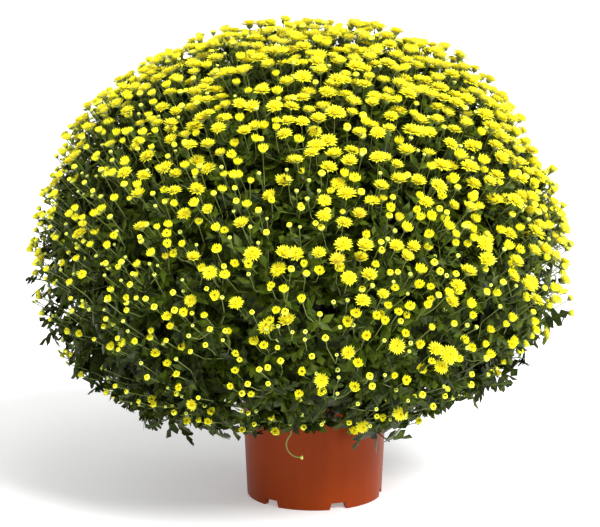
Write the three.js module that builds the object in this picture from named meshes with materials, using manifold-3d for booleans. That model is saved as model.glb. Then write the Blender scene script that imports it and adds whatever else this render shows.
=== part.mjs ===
// A potted cushion chrysanthemum: a round plastic pot, its compost, and a ball of leafy stems that
// each stand in a plain hole in the compost and carry a spray of small yellow flower heads.
// Millimetres, +Z up, with the origin on the floor at the centre of the pot's base.
import * as THREE from "three";
import { mergeVertices } from "three/addons/utils/BufferGeometryUtils.js";
import Module from "manifold-3d";

const wasm = await Module();
wasm.setup();

// ---- Driving dimensions -------------------------------------------------------------------------

const POT = {
  height: 170,
  baseRadius: 88.5,
  topRadius: 95.5, // of the body, just under the rim
  wall: 2,
  rimRadius: 100,
  rimDepth: 15,
  floorHeight: 9, // the floor is raised above the ground between its feet
  floorThickness: 3,
  footRadius: 24, // the flat foot under the middle of the floor
  footRing: 7, // how far the outer foot ring reaches in from the wall
  ease: 2, // how far its slanted and softened edges run
  sides: 28,
};
const NOTCH = { count: 6, firstDegrees: 20.3, bottomWidth: 24, topWidth: 18.5, height: 9 };
const DRAIN = { count: 6, radius: 6, circle: 52, sides: 6 };
const COMPOST = {
  top: 150,
  clearance: 0.5,
  holeDepth: 24,
  flatTo: 0.74, // share of its radius where its shoulder starts
  shoulder: 3,
  bump: 2.5,
  waves: [9, 11], // how long its lumps are, along X and along Y
};
// The ball of the plant, as the surface that the flower heads' middles lie on. It stands a little
// to the left of the pot.
const BALL = { centre: new THREE.Vector3(-17, 0, 324), half: 349, up: 297, down: 255 };
// Rings of cells over the ball, in degrees down from its top. Each cell is one leafy stem with its spray.
const RINGS = [
  { from: 0, to: 22, cells: 1, turn: 0, rootCircle: 0, rise: 330, leaves: 4, hanging: 0 },
  { from: 22, to: 57, cells: 5, turn: -90, rootCircle: 18, rise: 200, leaves: 3, hanging: 0 },
  { from: 57, to: 93, cells: 8, turn: 4, rootCircle: 36, rise: 120, leaves: 3, hanging: 0 },
  { from: 93, to: 141, cells: 10, turn: 12, rootCircle: 55, rise: 62, leaves: 3, hanging: 2 },
];
const BORDER_WAVE = 3.5; // degrees that the border between two rings rises and falls
// Depths in the ball, as shares of the way from its middle to its surface.
const DEPTH = { back: 0.73, stem: 0.756, holeBottom: 0.774, hole: 0.802, notch: 0.85, tip: 0.93 };
// The knob that ends a spray's main stalk: where it starts, and its height and width in millimetres.
const KNOB = { at: 0.816, heart: 4.8, waist: 7, tip: 12, waistRadius: 3.8 };
const STEM = {
  radius: 3.4,
  topRadius: 2.8,
  sides: 4,
  holeGap: 0.5,
  straight: 6, // how far it stands upright out of the compost
  lean: 0.12, // share of the way to its end that the bend's pull lies out
  rings: [0.34, 0.67, 1], // where on the bend its rings lie
};
const SOCKET = { radius: 4.3, gap: 0.4, sides: 6 };
// The leaves round a rosette: their tips lie near the border of its cell, with notches between them.
const ROSETTE = { tips: 12, margin: 2.5, spread: 4, notchAt: 0.87, backAt: 0.6, unevenness: 0.02 };
const HEADS_IN_CELL = 12;
const HEAD_LAYER = 0.035; // how deep the heads lie at most, as a share of the way to the middle
const HEAD_MARGIN = 21;
// Heights and notches are shares of the head's own radius; the cup's radius is in millimetres.
const HEAD = { radius: 19, petals: 6, notch: 0.66, curl: 0.1, dome: 0.3, depth: 0.4, cup: 2.2 };
const BUD = { radius: 9, sides: 5, dome: 0.9, depth: 1, cup: 1.8 };
const HEAD_SIZES = [0.84, 1.06]; // smallest and largest, as shares of the radius
const LIGHT = 0.65; // how strongly the heads turn up towards the light
const LEAF = {
  length: 62,
  width: 42,
  thickness: 2.6,
  sizes: [0.8, 1.08], // smallest and largest, as shares of the length and width
  arch: 0.16,
  fold: 0.1,
  sunk: 4.5, // how deep its root lies under the rosette's face
  inward: [0.25, 0.62], // how far in from the rosette's edge it may grow
  lift: [0.5, 1.3], // how steeply it may stand up from the rosette
  faceUp: 0.3,
  clear: 0.8,
  tries: 60,
};
const HANGING_LEAF = { inward: 0.16, lean: 0.4, faceUp: 0.4 };
const CUT = 1; // how far a cutter reaches past what it cuts
const MERGE = 0.05; // joined solids lose the corners that lie closer than this to a straight edge
const COLOURS = { pot: 0xa64a26, compost: 0x33261c, leaf: 0x3b5a23, flower: 0xf6e11c };

// ---- Small tools --------------------------------------------------------------------------------

const v3 = (x, y, z) => new THREE.Vector3(x, y, z);
const rad = THREE.MathUtils.degToRad;
const { lerp } = THREE.MathUtils;
const between = ([low, high], share) => lerp(low, high, share);
const UP = v3(0, 0, 1);

// What each random draw is for.
const SALT = {
  margin: 1,
  unevenness: 2,
  layer: 4,
  open: 5,
  size: 6,
  across: [7, 8],
  turn: 9,
  spoke: 10,
  inward: 11,
  lift: 13,
  scale: 14,
};

// A repeatable number from 0 to 1 for any pair of indices.
function chance(index, salt) {
  const s = Math.sin(index * 12.9898 + salt * 78.233) * 43758.5453;
  return s - Math.floor(s);
}

// A unit vector square to an axis.
function squareTo(axis) {
  const guide = Math.abs(axis.z) > 0.9 ? v3(1, 0, 0) : UP;
  return guide.clone().cross(axis).normalize();
}

// A ring of points round an axis, from its side on, counter-clockwise as seen from the axis's tip.
function ring(centre, axis, radius, sides, { side = squareTo(axis), turn = 0 } = {}) {
  const other = axis.clone().cross(side).normalize();
  return Array.from({ length: sides }, (_, i) => {
    const angle = turn + (2 * Math.PI * i) / sides;
    return centre
      .clone()
      .addScaledVector(side, radius * Math.cos(angle))
      .addScaledVector(other, radius * Math.sin(angle));
  });
}

// A closed skin over rings of points, which may have different counts. Its ends are flat, or run to a point.
function loft(rings, { start = null, end = null } = {}) {
  const points = rings.flat();
  const firsts = rings.map((_, i) => rings.slice(0, i).reduce((sum, r) => sum + r.length, 0));
  const faces = [];
  rings.slice(1).forEach((upper, i) => {
    const lower = rings[i];
    const at = (row, k) => firsts[row] + (k % rings[row].length);
    let a = 0;
    let b = 0;
    while (a < lower.length || b < upper.length) {
      const lowerNext = (a + 0.5) / lower.length;
      const upperNext = (b + 0.5) / upper.length;
      if (b >= upper.length || (a < lower.length && lowerNext <= upperNext)) {
        faces.push([at(i, a), at(i, a + 1), at(i + 1, b)]);
        a += 1;
      } else {
        faces.push([at(i, a), at(i + 1, b + 1), at(i + 1, b)]);
        b += 1;
      }
    }
  });
  const close = (row, tip, reversed) => {
    const count = rings[row].length;
    const apex = tip ? points.push(tip) - 1 : firsts[row];
    for (let k = tip ? 0 : 1; k < (tip ? count : count - 1); k += 1) {
      const pair = [firsts[row] + k, firsts[row] + ((k + 1) % count)];
      faces.push(reversed ? [apex, pair[1], pair[0]] : [apex, ...pair]);
    }
  };
  close(0, start, true);
  close(rings.length - 1, end, false);
  const positions = points.flatMap((p) => p.toArray());
  return new THREE.BufferGeometry()
    .setAttribute("position", new THREE.Float32BufferAttribute(positions, 3))
    .setIndex(faces.flat());
}

const middleOf = (corners) =>
  corners.reduce((sum, corner) => sum.add(corner), v3(0, 0, 0)).divideScalar(corners.length);

// A closed three.js geometry as a solid that can be joined and cut.
function solid(geometry) {
  const bare = geometry.clone();
  ["normal", "uv", "color"].forEach((name) => bare.deleteAttribute(name));
  const merged = mergeVertices(bare, 1e-3);
  const mesh = (triVerts) =>
    new wasm.Mesh({ numProp: 3, vertProperties: merged.attributes.position.array, triVerts });
  const made = new wasm.Manifold(mesh(new Uint32Array(merged.index.array)));
  return made.volume() > 0 ? made : new wasm.Manifold(mesh(new Uint32Array(merged.index.array).reverse()));
}

// A solid as a named, coloured mesh.
function meshOf(name, made, color, roughness) {
  const { numProp, vertProperties, triVerts } = made.getMesh();
  const geometry = new THREE.BufferGeometry()
    .setAttribute("position", new THREE.Float32BufferAttribute(vertProperties.slice(), numProp))
    .setIndex(new THREE.BufferAttribute(new Uint32Array(triVerts), 1));
  geometry.computeVertexNormals();
  const material = new THREE.MeshStandardMaterial({ color, roughness, metalness: 0, flatShading: true });
  const mesh = new THREE.Mesh(geometry, material);
  mesh.name = name;
  return mesh;
}

// A solid of revolution about +Z from [radius, height] pairs that start and end on the axis.
function turned(profile, sides) {
  const lathe = new THREE.LatheGeometry(
    profile.map(([r, z]) => new THREE.Vector2(r, z)),
    sides,
  );
  return lathe.rotateX(Math.PI / 2);
}

// ---- Pot and compost ----------------------------------------------------------------------------

const wallRadius = (z) => lerp(POT.baseRadius, POT.topRadius, z / (POT.height - POT.rimDepth));

function makePot() {
  const { height, wall, rimRadius, rimDepth, floorHeight, floorThickness, footRadius, footRing, ease } = POT;
  const floorTop = floorHeight + floorThickness;
  const rimFoot = height - rimDepth;
  const body = solid(
    turned(
      [
        [0, 0],
        [footRadius, 0],
        [footRadius + ease, floorHeight],
        [POT.baseRadius - footRing - ease, floorHeight],
        [POT.baseRadius - footRing, 0],
        [POT.baseRadius, 0],
        [POT.topRadius, rimFoot],
        [rimRadius - ease / 2, rimFoot + ease],
        [rimRadius, height - ease],
        [rimRadius - ease / 2, height],
        [rimRadius - wall - ease / 2, height],
        [POT.topRadius - wall, rimFoot + ease],
        [wallRadius(floorTop) - wall, floorTop],
        [0, floorTop],
      ],
      POT.sides,
    ),
  );
  const cuts = [];
  for (let i = 0; i < NOTCH.count; i += 1) {
    const angle = rad(NOTCH.firstDegrees - 90 + (i * 360) / NOTCH.count);
    const shape = new THREE.Shape([
      new THREE.Vector2(-NOTCH.bottomWidth / 2, -CUT),
      new THREE.Vector2(NOTCH.bottomWidth / 2, -CUT),
      new THREE.Vector2(NOTCH.topWidth / 2, NOTCH.height),
      new THREE.Vector2(-NOTCH.topWidth / 2, NOTCH.height),
    ]);
    const wedge = new THREE.ExtrudeGeometry(shape, { depth: 3 * footRing, bevelEnabled: false });
    wedge.rotateX(Math.PI / 2).rotateZ(Math.PI / 2);
    wedge.translate(POT.baseRadius - 2 * footRing, 0, 0).rotateZ(angle);
    cuts.push(solid(wedge));
  }
  for (let i = 0; i < DRAIN.count; i += 1) {
    const angle = rad(NOTCH.firstDegrees - 60 + (i * 360) / DRAIN.count);
    const centre = v3(DRAIN.circle * Math.cos(angle), DRAIN.circle * Math.sin(angle), floorHeight - CUT);
    const top = centre.clone().setZ(floorTop + CUT);
    cuts.push(solid(loft([centre, top].map((c) => ring(c, UP, DRAIN.radius, DRAIN.sides)))));
  }
  return body.subtract(wasm.Manifold.union(cuts)).simplify(MERGE);
}

function makeCompost(roots) {
  const floorTop = POT.floorHeight + POT.floorThickness + COMPOST.clearance;
  const edge = (z) => wallRadius(z) - POT.wall - COMPOST.clearance;
  const mass = turned(
    [
      [0, floorTop],
      [edge(floorTop), floorTop],
      [edge(COMPOST.top), COMPOST.top - COMPOST.shoulder],
      [edge(COMPOST.top) * COMPOST.flatTo, COMPOST.top],
      [0, COMPOST.top],
    ],
    POT.sides,
  );
  const points = mass.attributes.position;
  const [waveX, waveY] = COMPOST.waves;
  for (let i = 0; i < points.count; i += 1) {
    const lump = COMPOST.bump * Math.sin(points.getX(i) / waveX + 1) * Math.cos(points.getY(i) / waveY);
    if (points.getZ(i) === COMPOST.top) points.setZ(i, COMPOST.top + lump);
  }
  const holes = roots.map((root) => {
    const low = root.clone().setZ(COMPOST.top - COMPOST.holeDepth);
    const high = root.clone().setZ(COMPOST.top + 2 * COMPOST.bump);
    return solid(loft([low, high].map((c) => ring(c, UP, STEM.radius + STEM.holeGap, STEM.sides))));
  });
  return solid(mass).subtract(wasm.Manifold.union(holes)).simplify(MERGE);
}

// ---- The ball and its cells ---------------------------------------------------------------------

// Gentle unevenness of the ball: a few shallow waves.
const swell = (phi, theta) =>
  1 + 0.012 * Math.sin(3 * phi + 0.6) * Math.sin(theta) + 0.008 * Math.sin(7 * phi + 2) * Math.sin(3 * theta);

function place(phi, theta, share) {
  const height = Math.cos(theta) > 0 ? BALL.up : BALL.down;
  const reach = BALL.half * Math.sin(theta);
  return v3(reach * Math.cos(phi), reach * Math.sin(phi), height * Math.cos(theta))
    .multiplyScalar(share * swell(phi, theta))
    .add(BALL.centre);
}

// Which way a flower head looks: out from the ball, and turned up towards the light.
function facingAt(phi, theta) {
  const height = Math.cos(theta) > 0 ? BALL.up : BALL.down;
  const flat = Math.sin(theta) / BALL.half;
  return v3(flat * Math.cos(phi), flat * Math.sin(phi), Math.cos(theta) / height)
    .normalize()
    .addScaledVector(UP, LIGHT)
    .normalize();
}

// The share of the flowers that are open: most at the top and on the right.
const openness = (phi, theta) =>
  0.62 + 0.22 * Math.cos(theta) + 0.25 * Math.sin(theta) * Math.cos(phi) - 0.04 * Math.sin(4 * phi);

// A border of a ring of cells, in degrees down from the top. Between two rings it waves a little.
const borderAt = (degrees, phi) => {
  const isEdge = degrees === RINGS[0].from || degrees === RINGS.at(-1).to;
  return degrees + (isEdge ? 0 : BORDER_WAVE * Math.sin(5 * phi + degrees));
};

// A cell maps its own square, -1 to 1 both ways, to a direction from the ball's middle. The top cell
// is a disc, so its square is rounded.
function cellsOf({ from, to, cells, turn, ...rest }) {
  const halfTurn = Math.PI / cells;
  return Array.from({ length: cells }, (_, i) => {
    const phi = rad(turn) + 2 * halfTurn * i;
    const disc = cells === 1;
    const direction = (a, b) => {
      if (!disc) {
        const turned = phi + a * halfTurn;
        return [turned, rad(lerp(borderAt(from, turned), borderAt(to, turned), (b + 1) / 2))];
      }
      const x = a * Math.sqrt(1 - (b * b) / 2);
      const y = b * Math.sqrt(1 - (a * a) / 2);
      const turned = Math.atan2(y, x);
      return [turned, rad(borderAt(to, turned)) * Math.hypot(x, y)];
    };
    const at = (a, b, share) => place(...direction(a, b), share);
    const wide = at(-1, 0, 1).distanceTo(at(1, 0, 1));
    const tall = at(0, -1, 1).distanceTo(at(0, 1, 1));
    const axis = at(0, 0, 1).sub(BALL.centre).normalize();
    return { ...rest, phi, direction, at, wide, tall, axis };
  });
}

const cells = RINGS.flatMap(cellsOf);
cells.forEach((cell, index) => Object.assign(cell, { index, label: String(index + 1).padStart(2, "0") }));

// The cell's square, drawn in by a margin in millimetres from its borders.
const inset = (cell, a, b, margin) => [
  a * (1 - (2 * margin) / cell.wide),
  b * (1 - (2 * margin) / cell.tall),
];

// ---- Leafy stems --------------------------------------------------------------------------------

const rootOf = ({ phi, rootCircle }) =>
  v3(rootCircle * Math.cos(phi), rootCircle * Math.sin(phi), COMPOST.top);

// The stem: upright through its hole in the compost, then in one bend out to the back of its leafy head.
function makeStem(cell) {
  const root = rootOf(cell);
  const foot = root.clone().setZ(COMPOST.top - COMPOST.holeDepth + COMPOST.clearance * 2);
  const neck = root.clone().setZ(COMPOST.top + STEM.straight);
  const end = cell.at(0, 0, DEPTH.stem);
  const pull = root.clone().lerp(end, STEM.lean).setZ(COMPOST.top + cell.rise);
  const bend = new THREE.QuadraticBezierCurve3(neck, pull, end);
  const side = squareTo(UP);
  const rings = [foot, neck].map((centre) => ring(centre, UP, STEM.radius, STEM.sides, { side }));
  STEM.rings.forEach((t) => {
    const tangent = bend.getTangent(t);
    const radius = lerp(STEM.radius, STEM.topRadius, t);
    side.projectOnPlane(tangent).normalize();
    rings.push(ring(bend.getPoint(t), tangent, radius, STEM.sides, { side }));
  });
  return solid(loft(rings));
}

// Points put in order round the cell's axis, starting from its square side.
function inOrder(cell, points) {
  const side = squareTo(cell.axis);
  const other = cell.axis.clone().cross(side);
  const middle = cell.at(0, 0, DEPTH.notch);
  const angle = (p) => {
    const d = p.clone().sub(middle);
    return (Math.atan2(d.dot(other), d.dot(side)) + 2 * Math.PI) % (2 * Math.PI);
  };
  return points.sort((p, q) => angle(p) - angle(q));
}

// The rosette of leaves under a spray: a thick dish with leaf tips round its edge, and a hole for the
// spray's main stalk.
function makeRosette(cell) {
  const { tips, margin, spread, notchAt, backAt, unevenness } = ROSETTE;
  const edge = Array.from({ length: 2 * tips }, (_, i) => {
    const along = (8 * i) / (2 * tips);
    const across = (along % 2) - 1;
    const [a, b] = [
      [across, -1],
      [1, across],
      [-across, 1],
      [-1, -across],
    ][Math.floor(along / 2)];
    return inset(cell, a, b, margin + spread * chance(cell.index * 2 * tips + i, SALT.margin));
  });
  const rim = edge.map(([a, b], i) => {
    const [share, depth] = i % 2 === 0 ? [1, DEPTH.tip] : [notchAt, DEPTH.notch];
    const lift = unevenness * (chance(cell.index * 2 * tips + i, SALT.unevenness) - 0.5);
    return cell.at(share * a, share * b, depth + lift);
  });
  const back = edge
    .filter((_, i) => i % 2 === 1)
    .map(([a, b]) => cell.at(backAt * a, backAt * b, DEPTH.back));
  const hole = [DEPTH.hole, DEPTH.holeBottom].map((depth) =>
    ring(cell.at(0, 0, depth), cell.axis, SOCKET.radius + SOCKET.gap, SOCKET.sides),
  );
  return { dish: solid(loft([inOrder(cell, back), inOrder(cell, rim), ...hole])), rim };
}

// A lobed leaf is a thin arched blade with two pairs of side lobes. This is half its outline, as
// shares of its length and of half its width.
const LEAF_HALF = [
  [0.3, 0.84],
  [0.42, 0.46],
  [0.62, 1],
  [0.76, 0.42],
];

function makeLeaf(root, along, face, length, width) {
  const out = along.clone().cross(face).normalize();
  const normal = out.clone().cross(along).normalize();
  const point = ([t, s], sign, lift) =>
    root
      .clone()
      .addScaledVector(along, t * length)
      .addScaledVector(out, (sign * s * width) / 2)
      .addScaledVector(normal, lift - LEAF.arch * length * t * t - LEAF.fold * width * s * s);
  const right = LEAF_HALF.map((p) => point(p, 1, 0));
  const left = LEAF_HALF.map((p) => point(p, -1, 0)).reverse();
  const tip = point([1, 0], 1, 0);
  const outline = [root, ...right, tip, ...left];
  const under = point([0.5, 0], 1, -0.4 * LEAF.thickness);
  const over = point([0.5, 0], 1, 0.6 * LEAF.thickness);
  return solid(loft([outline], { start: under, end: over }));
}

// ---- Flower sprays ------------------------------------------------------------------------------

// A stalk grows out of one face of the spray's knob, up to the cup under its head. It is two rings of
// three corners, with the side that the head's own rings start from.
function stalk(face, cup, facing, radius) {
  const middle = middleOf(face);
  const axis = cup.clone().sub(middle).normalize().add(facing).normalize();
  const side = face[0].clone().sub(middle).projectOnPlane(axis).normalize();
  const rings = [face, ring(cup, axis, radius, 3, { side })];
  return { rings, side: side.projectOnPlane(facing).normalize() };
}

// An open flower: a star of pointed petals, raised in the middle.
function makeFlower(face, centre, facing, size, turn) {
  const above = (share) => centre.clone().addScaledVector(facing, share * size);
  const { rings, side } = stalk(face, above(-HEAD.depth), facing, HEAD.cup);
  const star = ring(centre, facing, size, 2 * HEAD.petals, { side, turn }).map((point, k) =>
    k % 2 === 0 ? point.addScaledVector(facing, HEAD.curl * size) : point.lerp(centre, 1 - HEAD.notch),
  );
  return solid(loft([...rings, star], { end: above(HEAD.dome) }));
}

// A flower that is still a closed globe.
function makeBud(face, centre, facing, size, turn) {
  const above = (share) => centre.clone().addScaledVector(facing, share * size);
  const { rings, side } = stalk(face, above(-BUD.depth), facing, BUD.cup);
  const belly = ring(centre, facing, size, BUD.sides, { side, turn });
  return solid(loft([...rings, belly], { end: above(BUD.dome) }));
}

// Evenly scattered places in a cell's square, by the two-dimensional golden-ratio sequence.
const SPREAD = [0.7548776662, 0.5698402909];
const headPlaces = (cell) =>
  Array.from({ length: HEADS_IN_CELL }, (_, i) => {
    const [a, b] = SPREAD.map((step, axis) => {
      const share = chance(cell.index, SALT.across[axis]) + step * (i + 1);
      return 2 * (share - Math.floor(share)) - 1;
    });
    return inset(cell, a, b, HEAD_MARGIN);
  });

// The knob on the main stalk, and its faces, which each can carry one head's stalk.
function makeKnob(cell) {
  const start = cell.at(0, 0, KNOB.at);
  const along = (distance) => start.clone().addScaledVector(cell.axis, distance);
  const foot = cell.at(0, 0, DEPTH.holeBottom).addScaledVector(cell.axis, SOCKET.gap);
  const main = [foot, start].map((centre) => ring(centre, cell.axis, SOCKET.radius, SOCKET.sides));
  const turn = Math.PI / SOCKET.sides;
  const waist = ring(along(KNOB.waist), cell.axis, KNOB.waistRadius, SOCKET.sides, { turn });
  const geometry = loft([...main, waist], { end: along(KNOB.tip) });
  const corners = geometry.attributes.position;
  const faces = [];
  for (let i = 0; i < geometry.index.count; i += 3) {
    const at = [0, 1, 2].map((k) => geometry.index.getX(i + k));
    if (at.every((k) => k >= SOCKET.sides) && at.some((k) => k >= 2 * SOCKET.sides)) {
      faces.push(at.map((k) => v3(0, 0, 0).fromBufferAttribute(corners, k)));
    }
  }
  return { knob: solid(geometry), faces, heart: along(KNOB.heart) };
}

// Each place gets a face of its own, so that all together point as nearly as can be at their places.
function shareOut(places, faces, heart) {
  const aim = (p) => p.clone().sub(heart);
  const aims = faces.map((face) => aim(middleOf(face)));
  const strain = (place, face) =>
    place < places.length ? aim(places[place]).angleTo(aims[face]) ** 2 : 0;
  const order = faces.map((_, face) => face);
  for (let swapped = true; swapped; ) {
    swapped = false;
    for (let i = 0; i < order.length; i += 1) {
      for (let j = i + 1; j < order.length; j += 1) {
        const [one, other] = [order[i], order[j]];
        if (strain(i, other) + strain(j, one) < strain(i, one) + strain(j, other) - 1e-9) {
          [order[i], order[j]] = [other, one];
          swapped = true;
        }
      }
    }
  }
  return places.map((_, place) => faces[order[place]]);
}

// A spray: its main stalk stands in the rosette's hole, and each head's stalk grows out of a face of
// its knob.
function makeSpray(cell) {
  const { knob, faces, heart } = makeKnob(cell);
  const spots = headPlaces(cell).map(([a, b], i) => {
    const salt = cell.index * HEADS_IN_CELL + i;
    const [phi, theta] = cell.direction(a, b);
    const centre = place(phi, theta, 1 - HEAD_LAYER * chance(salt, SALT.layer));
    return { salt, phi, theta, centre };
  });
  const roots = shareOut(
    spots.map(({ centre }) => centre),
    faces,
    heart,
  );
  const heads = spots.map(({ salt, phi, theta, centre }, i) => {
    const open = chance(salt, SALT.open) < openness(phi, theta);
    const size = (open ? HEAD : BUD).radius * between(HEAD_SIZES, chance(salt, SALT.size));
    const turn = (chance(salt, SALT.turn) - 0.5) * (Math.PI / HEAD.petals);
    return (open ? makeFlower : makeBud)(roots[i], centre, facingAt(phi, theta), size, turn);
  });
  return wasm.Manifold.union([knob, ...heads]).simplify(MERGE);
}

// ---- Putting the plant together -----------------------------------------------------------------

const boxOf = (made) => {
  const { min, max } = made.boundingBox();
  return new THREE.Box3(v3(...min), v3(...max));
};

// How steeply the lowest leaves hang: most at the left and the back, least at the front and right.
const droopAt = (phi) => 0.65 - 0.4 * Math.cos(phi) + 0.25 * Math.sin(phi);

// Leaves are tried one after another, and kept where they stay clear of all that is there.
function leavesFor(cell, rim, standing) {
  const middle = cell.at(0, 0, DEPTH.hole);
  const kept = [];
  const attempt = (root, along, face, scale) => {
    const made = makeLeaf(root, along.normalize(), face, scale * LEAF.length, scale * LEAF.width);
    const box = boxOf(made).expandByScalar(LEAF.clear);
    const others = [...standing, ...kept].filter((other) => other.owner !== cell.index);
    const near = others.filter((other) => other.box.intersectsBox(box));
    if (near.some((other) => other.made.minGap(made, LEAF.clear) < LEAF.clear)) return false;
    kept.push({ made, box });
    return true;
  };
  const lowest = [...rim].sort((p, q) => p.z - q.z);
  for (let i = 0, hung = 0; i < lowest.length && hung < cell.hanging; i += 1) {
    const { inward, lean, faceUp } = HANGING_LEAF;
    const root = lowest[i].clone().lerp(middle, inward).addScaledVector(cell.axis, -LEAF.sunk);
    const out = lowest[i].clone().sub(middle).normalize();
    const along = v3(cell.axis.x, cell.axis.y, -droopAt(cell.phi)).addScaledVector(out, lean);
    hung += attempt(root, along, cell.axis.clone().addScaledVector(UP, faceUp), LEAF.sizes[0]);
  }
  for (let i = 0, grown = 0; i < LEAF.tries && grown < cell.leaves; i += 1) {
    const salt = cell.index * LEAF.tries + i;
    const spoke = rim[Math.floor(rim.length * chance(salt, SALT.spoke))];
    const inward = between(LEAF.inward, chance(salt, SALT.inward));
    const root = spoke.clone().lerp(middle, inward).addScaledVector(cell.axis, -LEAF.sunk);
    const lift = between(LEAF.lift, chance(salt, SALT.lift));
    const out = spoke.clone().sub(middle).projectOnPlane(cell.axis).normalize();
    const along = out.clone().addScaledVector(cell.axis, lift);
    const face = cell.axis.clone().addScaledVector(out, -lift).addScaledVector(UP, LEAF.faceUp);
    grown += attempt(root, along, face, between(LEAF.sizes, chance(salt, SALT.scale)));
  }
  return kept;
}

const plant = new THREE.Group();
const pot = makePot();
plant.add(meshOf("pot", pot, COLOURS.pot, 0.5));
plant.add(meshOf("compost", makeCompost(cells.map(rootOf)), COLOURS.compost, 0.95));

const rosettes = cells.map(makeRosette);
const sprays = cells.map(makeSpray);
const stems = cells.map((cell) => makeStem(cell).add(rosettes[cell.index].dish));
const standing = [
  { made: pot, box: boxOf(pot) },
  ...sprays.map((made) => ({ made, box: boxOf(made) })),
  ...stems.map((made, owner) => ({ made, owner, box: boxOf(made) })),
];
cells.forEach((cell) => {
  const { index, label } = cell;
  const leaves = leavesFor(cell, rosettes[index].rim, standing);
  standing.push(...leaves);
  const leafy = wasm.Manifold.union([stems[index], ...leaves.map((leaf) => leaf.made)]).simplify(MERGE);
  plant.add(meshOf(`leafy_stem_${label}`, leafy, COLOURS.leaf, 0.7));
  plant.add(meshOf(`flower_spray_${label}`, sprays[index], COLOURS.flower, 0.6));
});

export default plant;
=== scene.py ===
"""A potted cushion chrysanthemum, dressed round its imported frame.

The frame gives a pot, its compost, and twenty-four leafy stems that each carry a spray of flower heads. This
add-on grows a fine shoot round each stem, with its branches, lobed leaves and flower stalks, sets the flower
heads of each spray, and makes the pot, the compost and the stage. Lengths are in metres.
"""

import itertools
import math
import random

import bmesh
import bpy
from bpy.props import FloatProperty, FloatVectorProperty, IntProperty, PointerProperty
from mathutils import Matrix, Vector, noise


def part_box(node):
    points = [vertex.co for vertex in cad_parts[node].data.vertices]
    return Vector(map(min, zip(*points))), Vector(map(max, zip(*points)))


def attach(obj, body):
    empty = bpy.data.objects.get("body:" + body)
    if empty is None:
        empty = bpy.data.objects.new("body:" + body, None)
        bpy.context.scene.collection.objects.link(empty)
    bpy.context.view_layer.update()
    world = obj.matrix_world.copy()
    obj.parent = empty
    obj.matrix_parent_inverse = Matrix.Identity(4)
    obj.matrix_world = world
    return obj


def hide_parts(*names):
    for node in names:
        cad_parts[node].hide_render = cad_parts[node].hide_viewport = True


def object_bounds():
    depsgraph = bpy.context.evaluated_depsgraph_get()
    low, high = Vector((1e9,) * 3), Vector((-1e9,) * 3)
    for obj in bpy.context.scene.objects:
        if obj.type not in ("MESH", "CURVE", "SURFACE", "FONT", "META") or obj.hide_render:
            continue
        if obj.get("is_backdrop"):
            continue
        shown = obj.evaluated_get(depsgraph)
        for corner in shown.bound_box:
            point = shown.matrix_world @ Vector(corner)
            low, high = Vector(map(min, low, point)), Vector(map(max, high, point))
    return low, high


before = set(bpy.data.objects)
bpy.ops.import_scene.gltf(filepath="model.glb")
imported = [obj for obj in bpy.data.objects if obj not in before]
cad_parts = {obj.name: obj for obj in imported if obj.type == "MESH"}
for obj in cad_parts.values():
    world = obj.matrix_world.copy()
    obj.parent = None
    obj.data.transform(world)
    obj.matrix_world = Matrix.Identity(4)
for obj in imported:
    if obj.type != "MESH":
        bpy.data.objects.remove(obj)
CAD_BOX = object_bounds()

bl_info = {
    "name": "Potted chrysanthemum",
    "version": (1, 0, 0),
    "blender": (4, 5, 0),
    "location": "3D View > Sidebar > Chrysanthemum",
    "description": "Grows a potted cushion chrysanthemum round its packed frame",
    "category": "Object",
}

BODY = "root"
MM = 0.001
UP = Vector((0, 0, 1))
GOLDEN_TURN = math.pi * (3 - math.sqrt(5))

# ---- The ball of the plant ----------------------------------------------------------------------

# The surface that the flower heads' middles lie on, a little to the left of the pot.
BALL_CENTRE = Vector((-0.017, 0.0, 0.324))
BALL_HALF = 0.349
BALL_UP = 0.297
BALL_DOWN = 0.255
COMPOST_TOP = 0.150
# Shoots spread from here, so that what they carry points away from it.
SPREAD_POINT = Vector((0, 0, 0.10))

# Rings of cells over the ball, in degrees down from its top. Each cell has one leafy stem and its spray.
RINGS = (
    {"start": 0, "stop": 22, "cells": 1, "turn": 0, "root_circle": 0.0, "rise": 0.330},
    {"start": 22, "stop": 57, "cells": 5, "turn": -90, "root_circle": 0.018, "rise": 0.200},
    {"start": 57, "stop": 93, "cells": 8, "turn": 4, "root_circle": 0.036, "rise": 0.120},
    {"start": 93, "stop": 141, "cells": 10, "turn": 12, "root_circle": 0.055, "rise": 0.062},
)
BORDER_WAVE = 3.5
HEADS_IN_CELL = 12
HEAD_MARGIN = 0.021
HEAD_LAYER = 0.035
# Where the branches part, as a share of the way to the surface.
HUB_DEPTH = 0.70
GOLDEN_STEPS = (0.7548776662, 0.5698402909)
SALT = {"layer": 4, "open": 5, "across": (7, 8)}


def lerp(low, high, share):
    return low + (high - low) * share


def clamp(value, low=0.0, high=1.0):
    return max(low, min(high, value))


def chance(index, salt):
    """A repeatable number from 0 to 1 for any pair of indices."""
    wave = math.sin(index * 12.9898 + salt * 78.233) * 43758.5453
    return wave - math.floor(wave)


def swell(phi, theta):
    """Broad, shallow waves of the ball's surface, as in the frame."""
    wide = 0.012 * math.sin(3 * phi + 0.6) * math.sin(theta)
    return 1 + wide + 0.008 * math.sin(7 * phi + 2) * math.sin(3 * theta)


def ball_height(theta):
    return BALL_UP if math.cos(theta) > 0 else BALL_DOWN


def place(phi, theta, share):
    """The point in a direction from the ball's middle, at a share of the way to its surface."""
    reach = BALL_HALF * math.sin(theta)
    out = Vector((reach * math.cos(phi), reach * math.sin(phi), ball_height(theta) * math.cos(theta)))
    return BALL_CENTRE + out * (share * swell(phi, theta))


def outward(phi, theta):
    """The ball's normal."""
    flat = math.sin(theta) / BALL_HALF
    upright = math.cos(theta) / ball_height(theta)
    return Vector((flat * math.cos(phi), flat * math.sin(phi), upright)).normalized()


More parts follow.
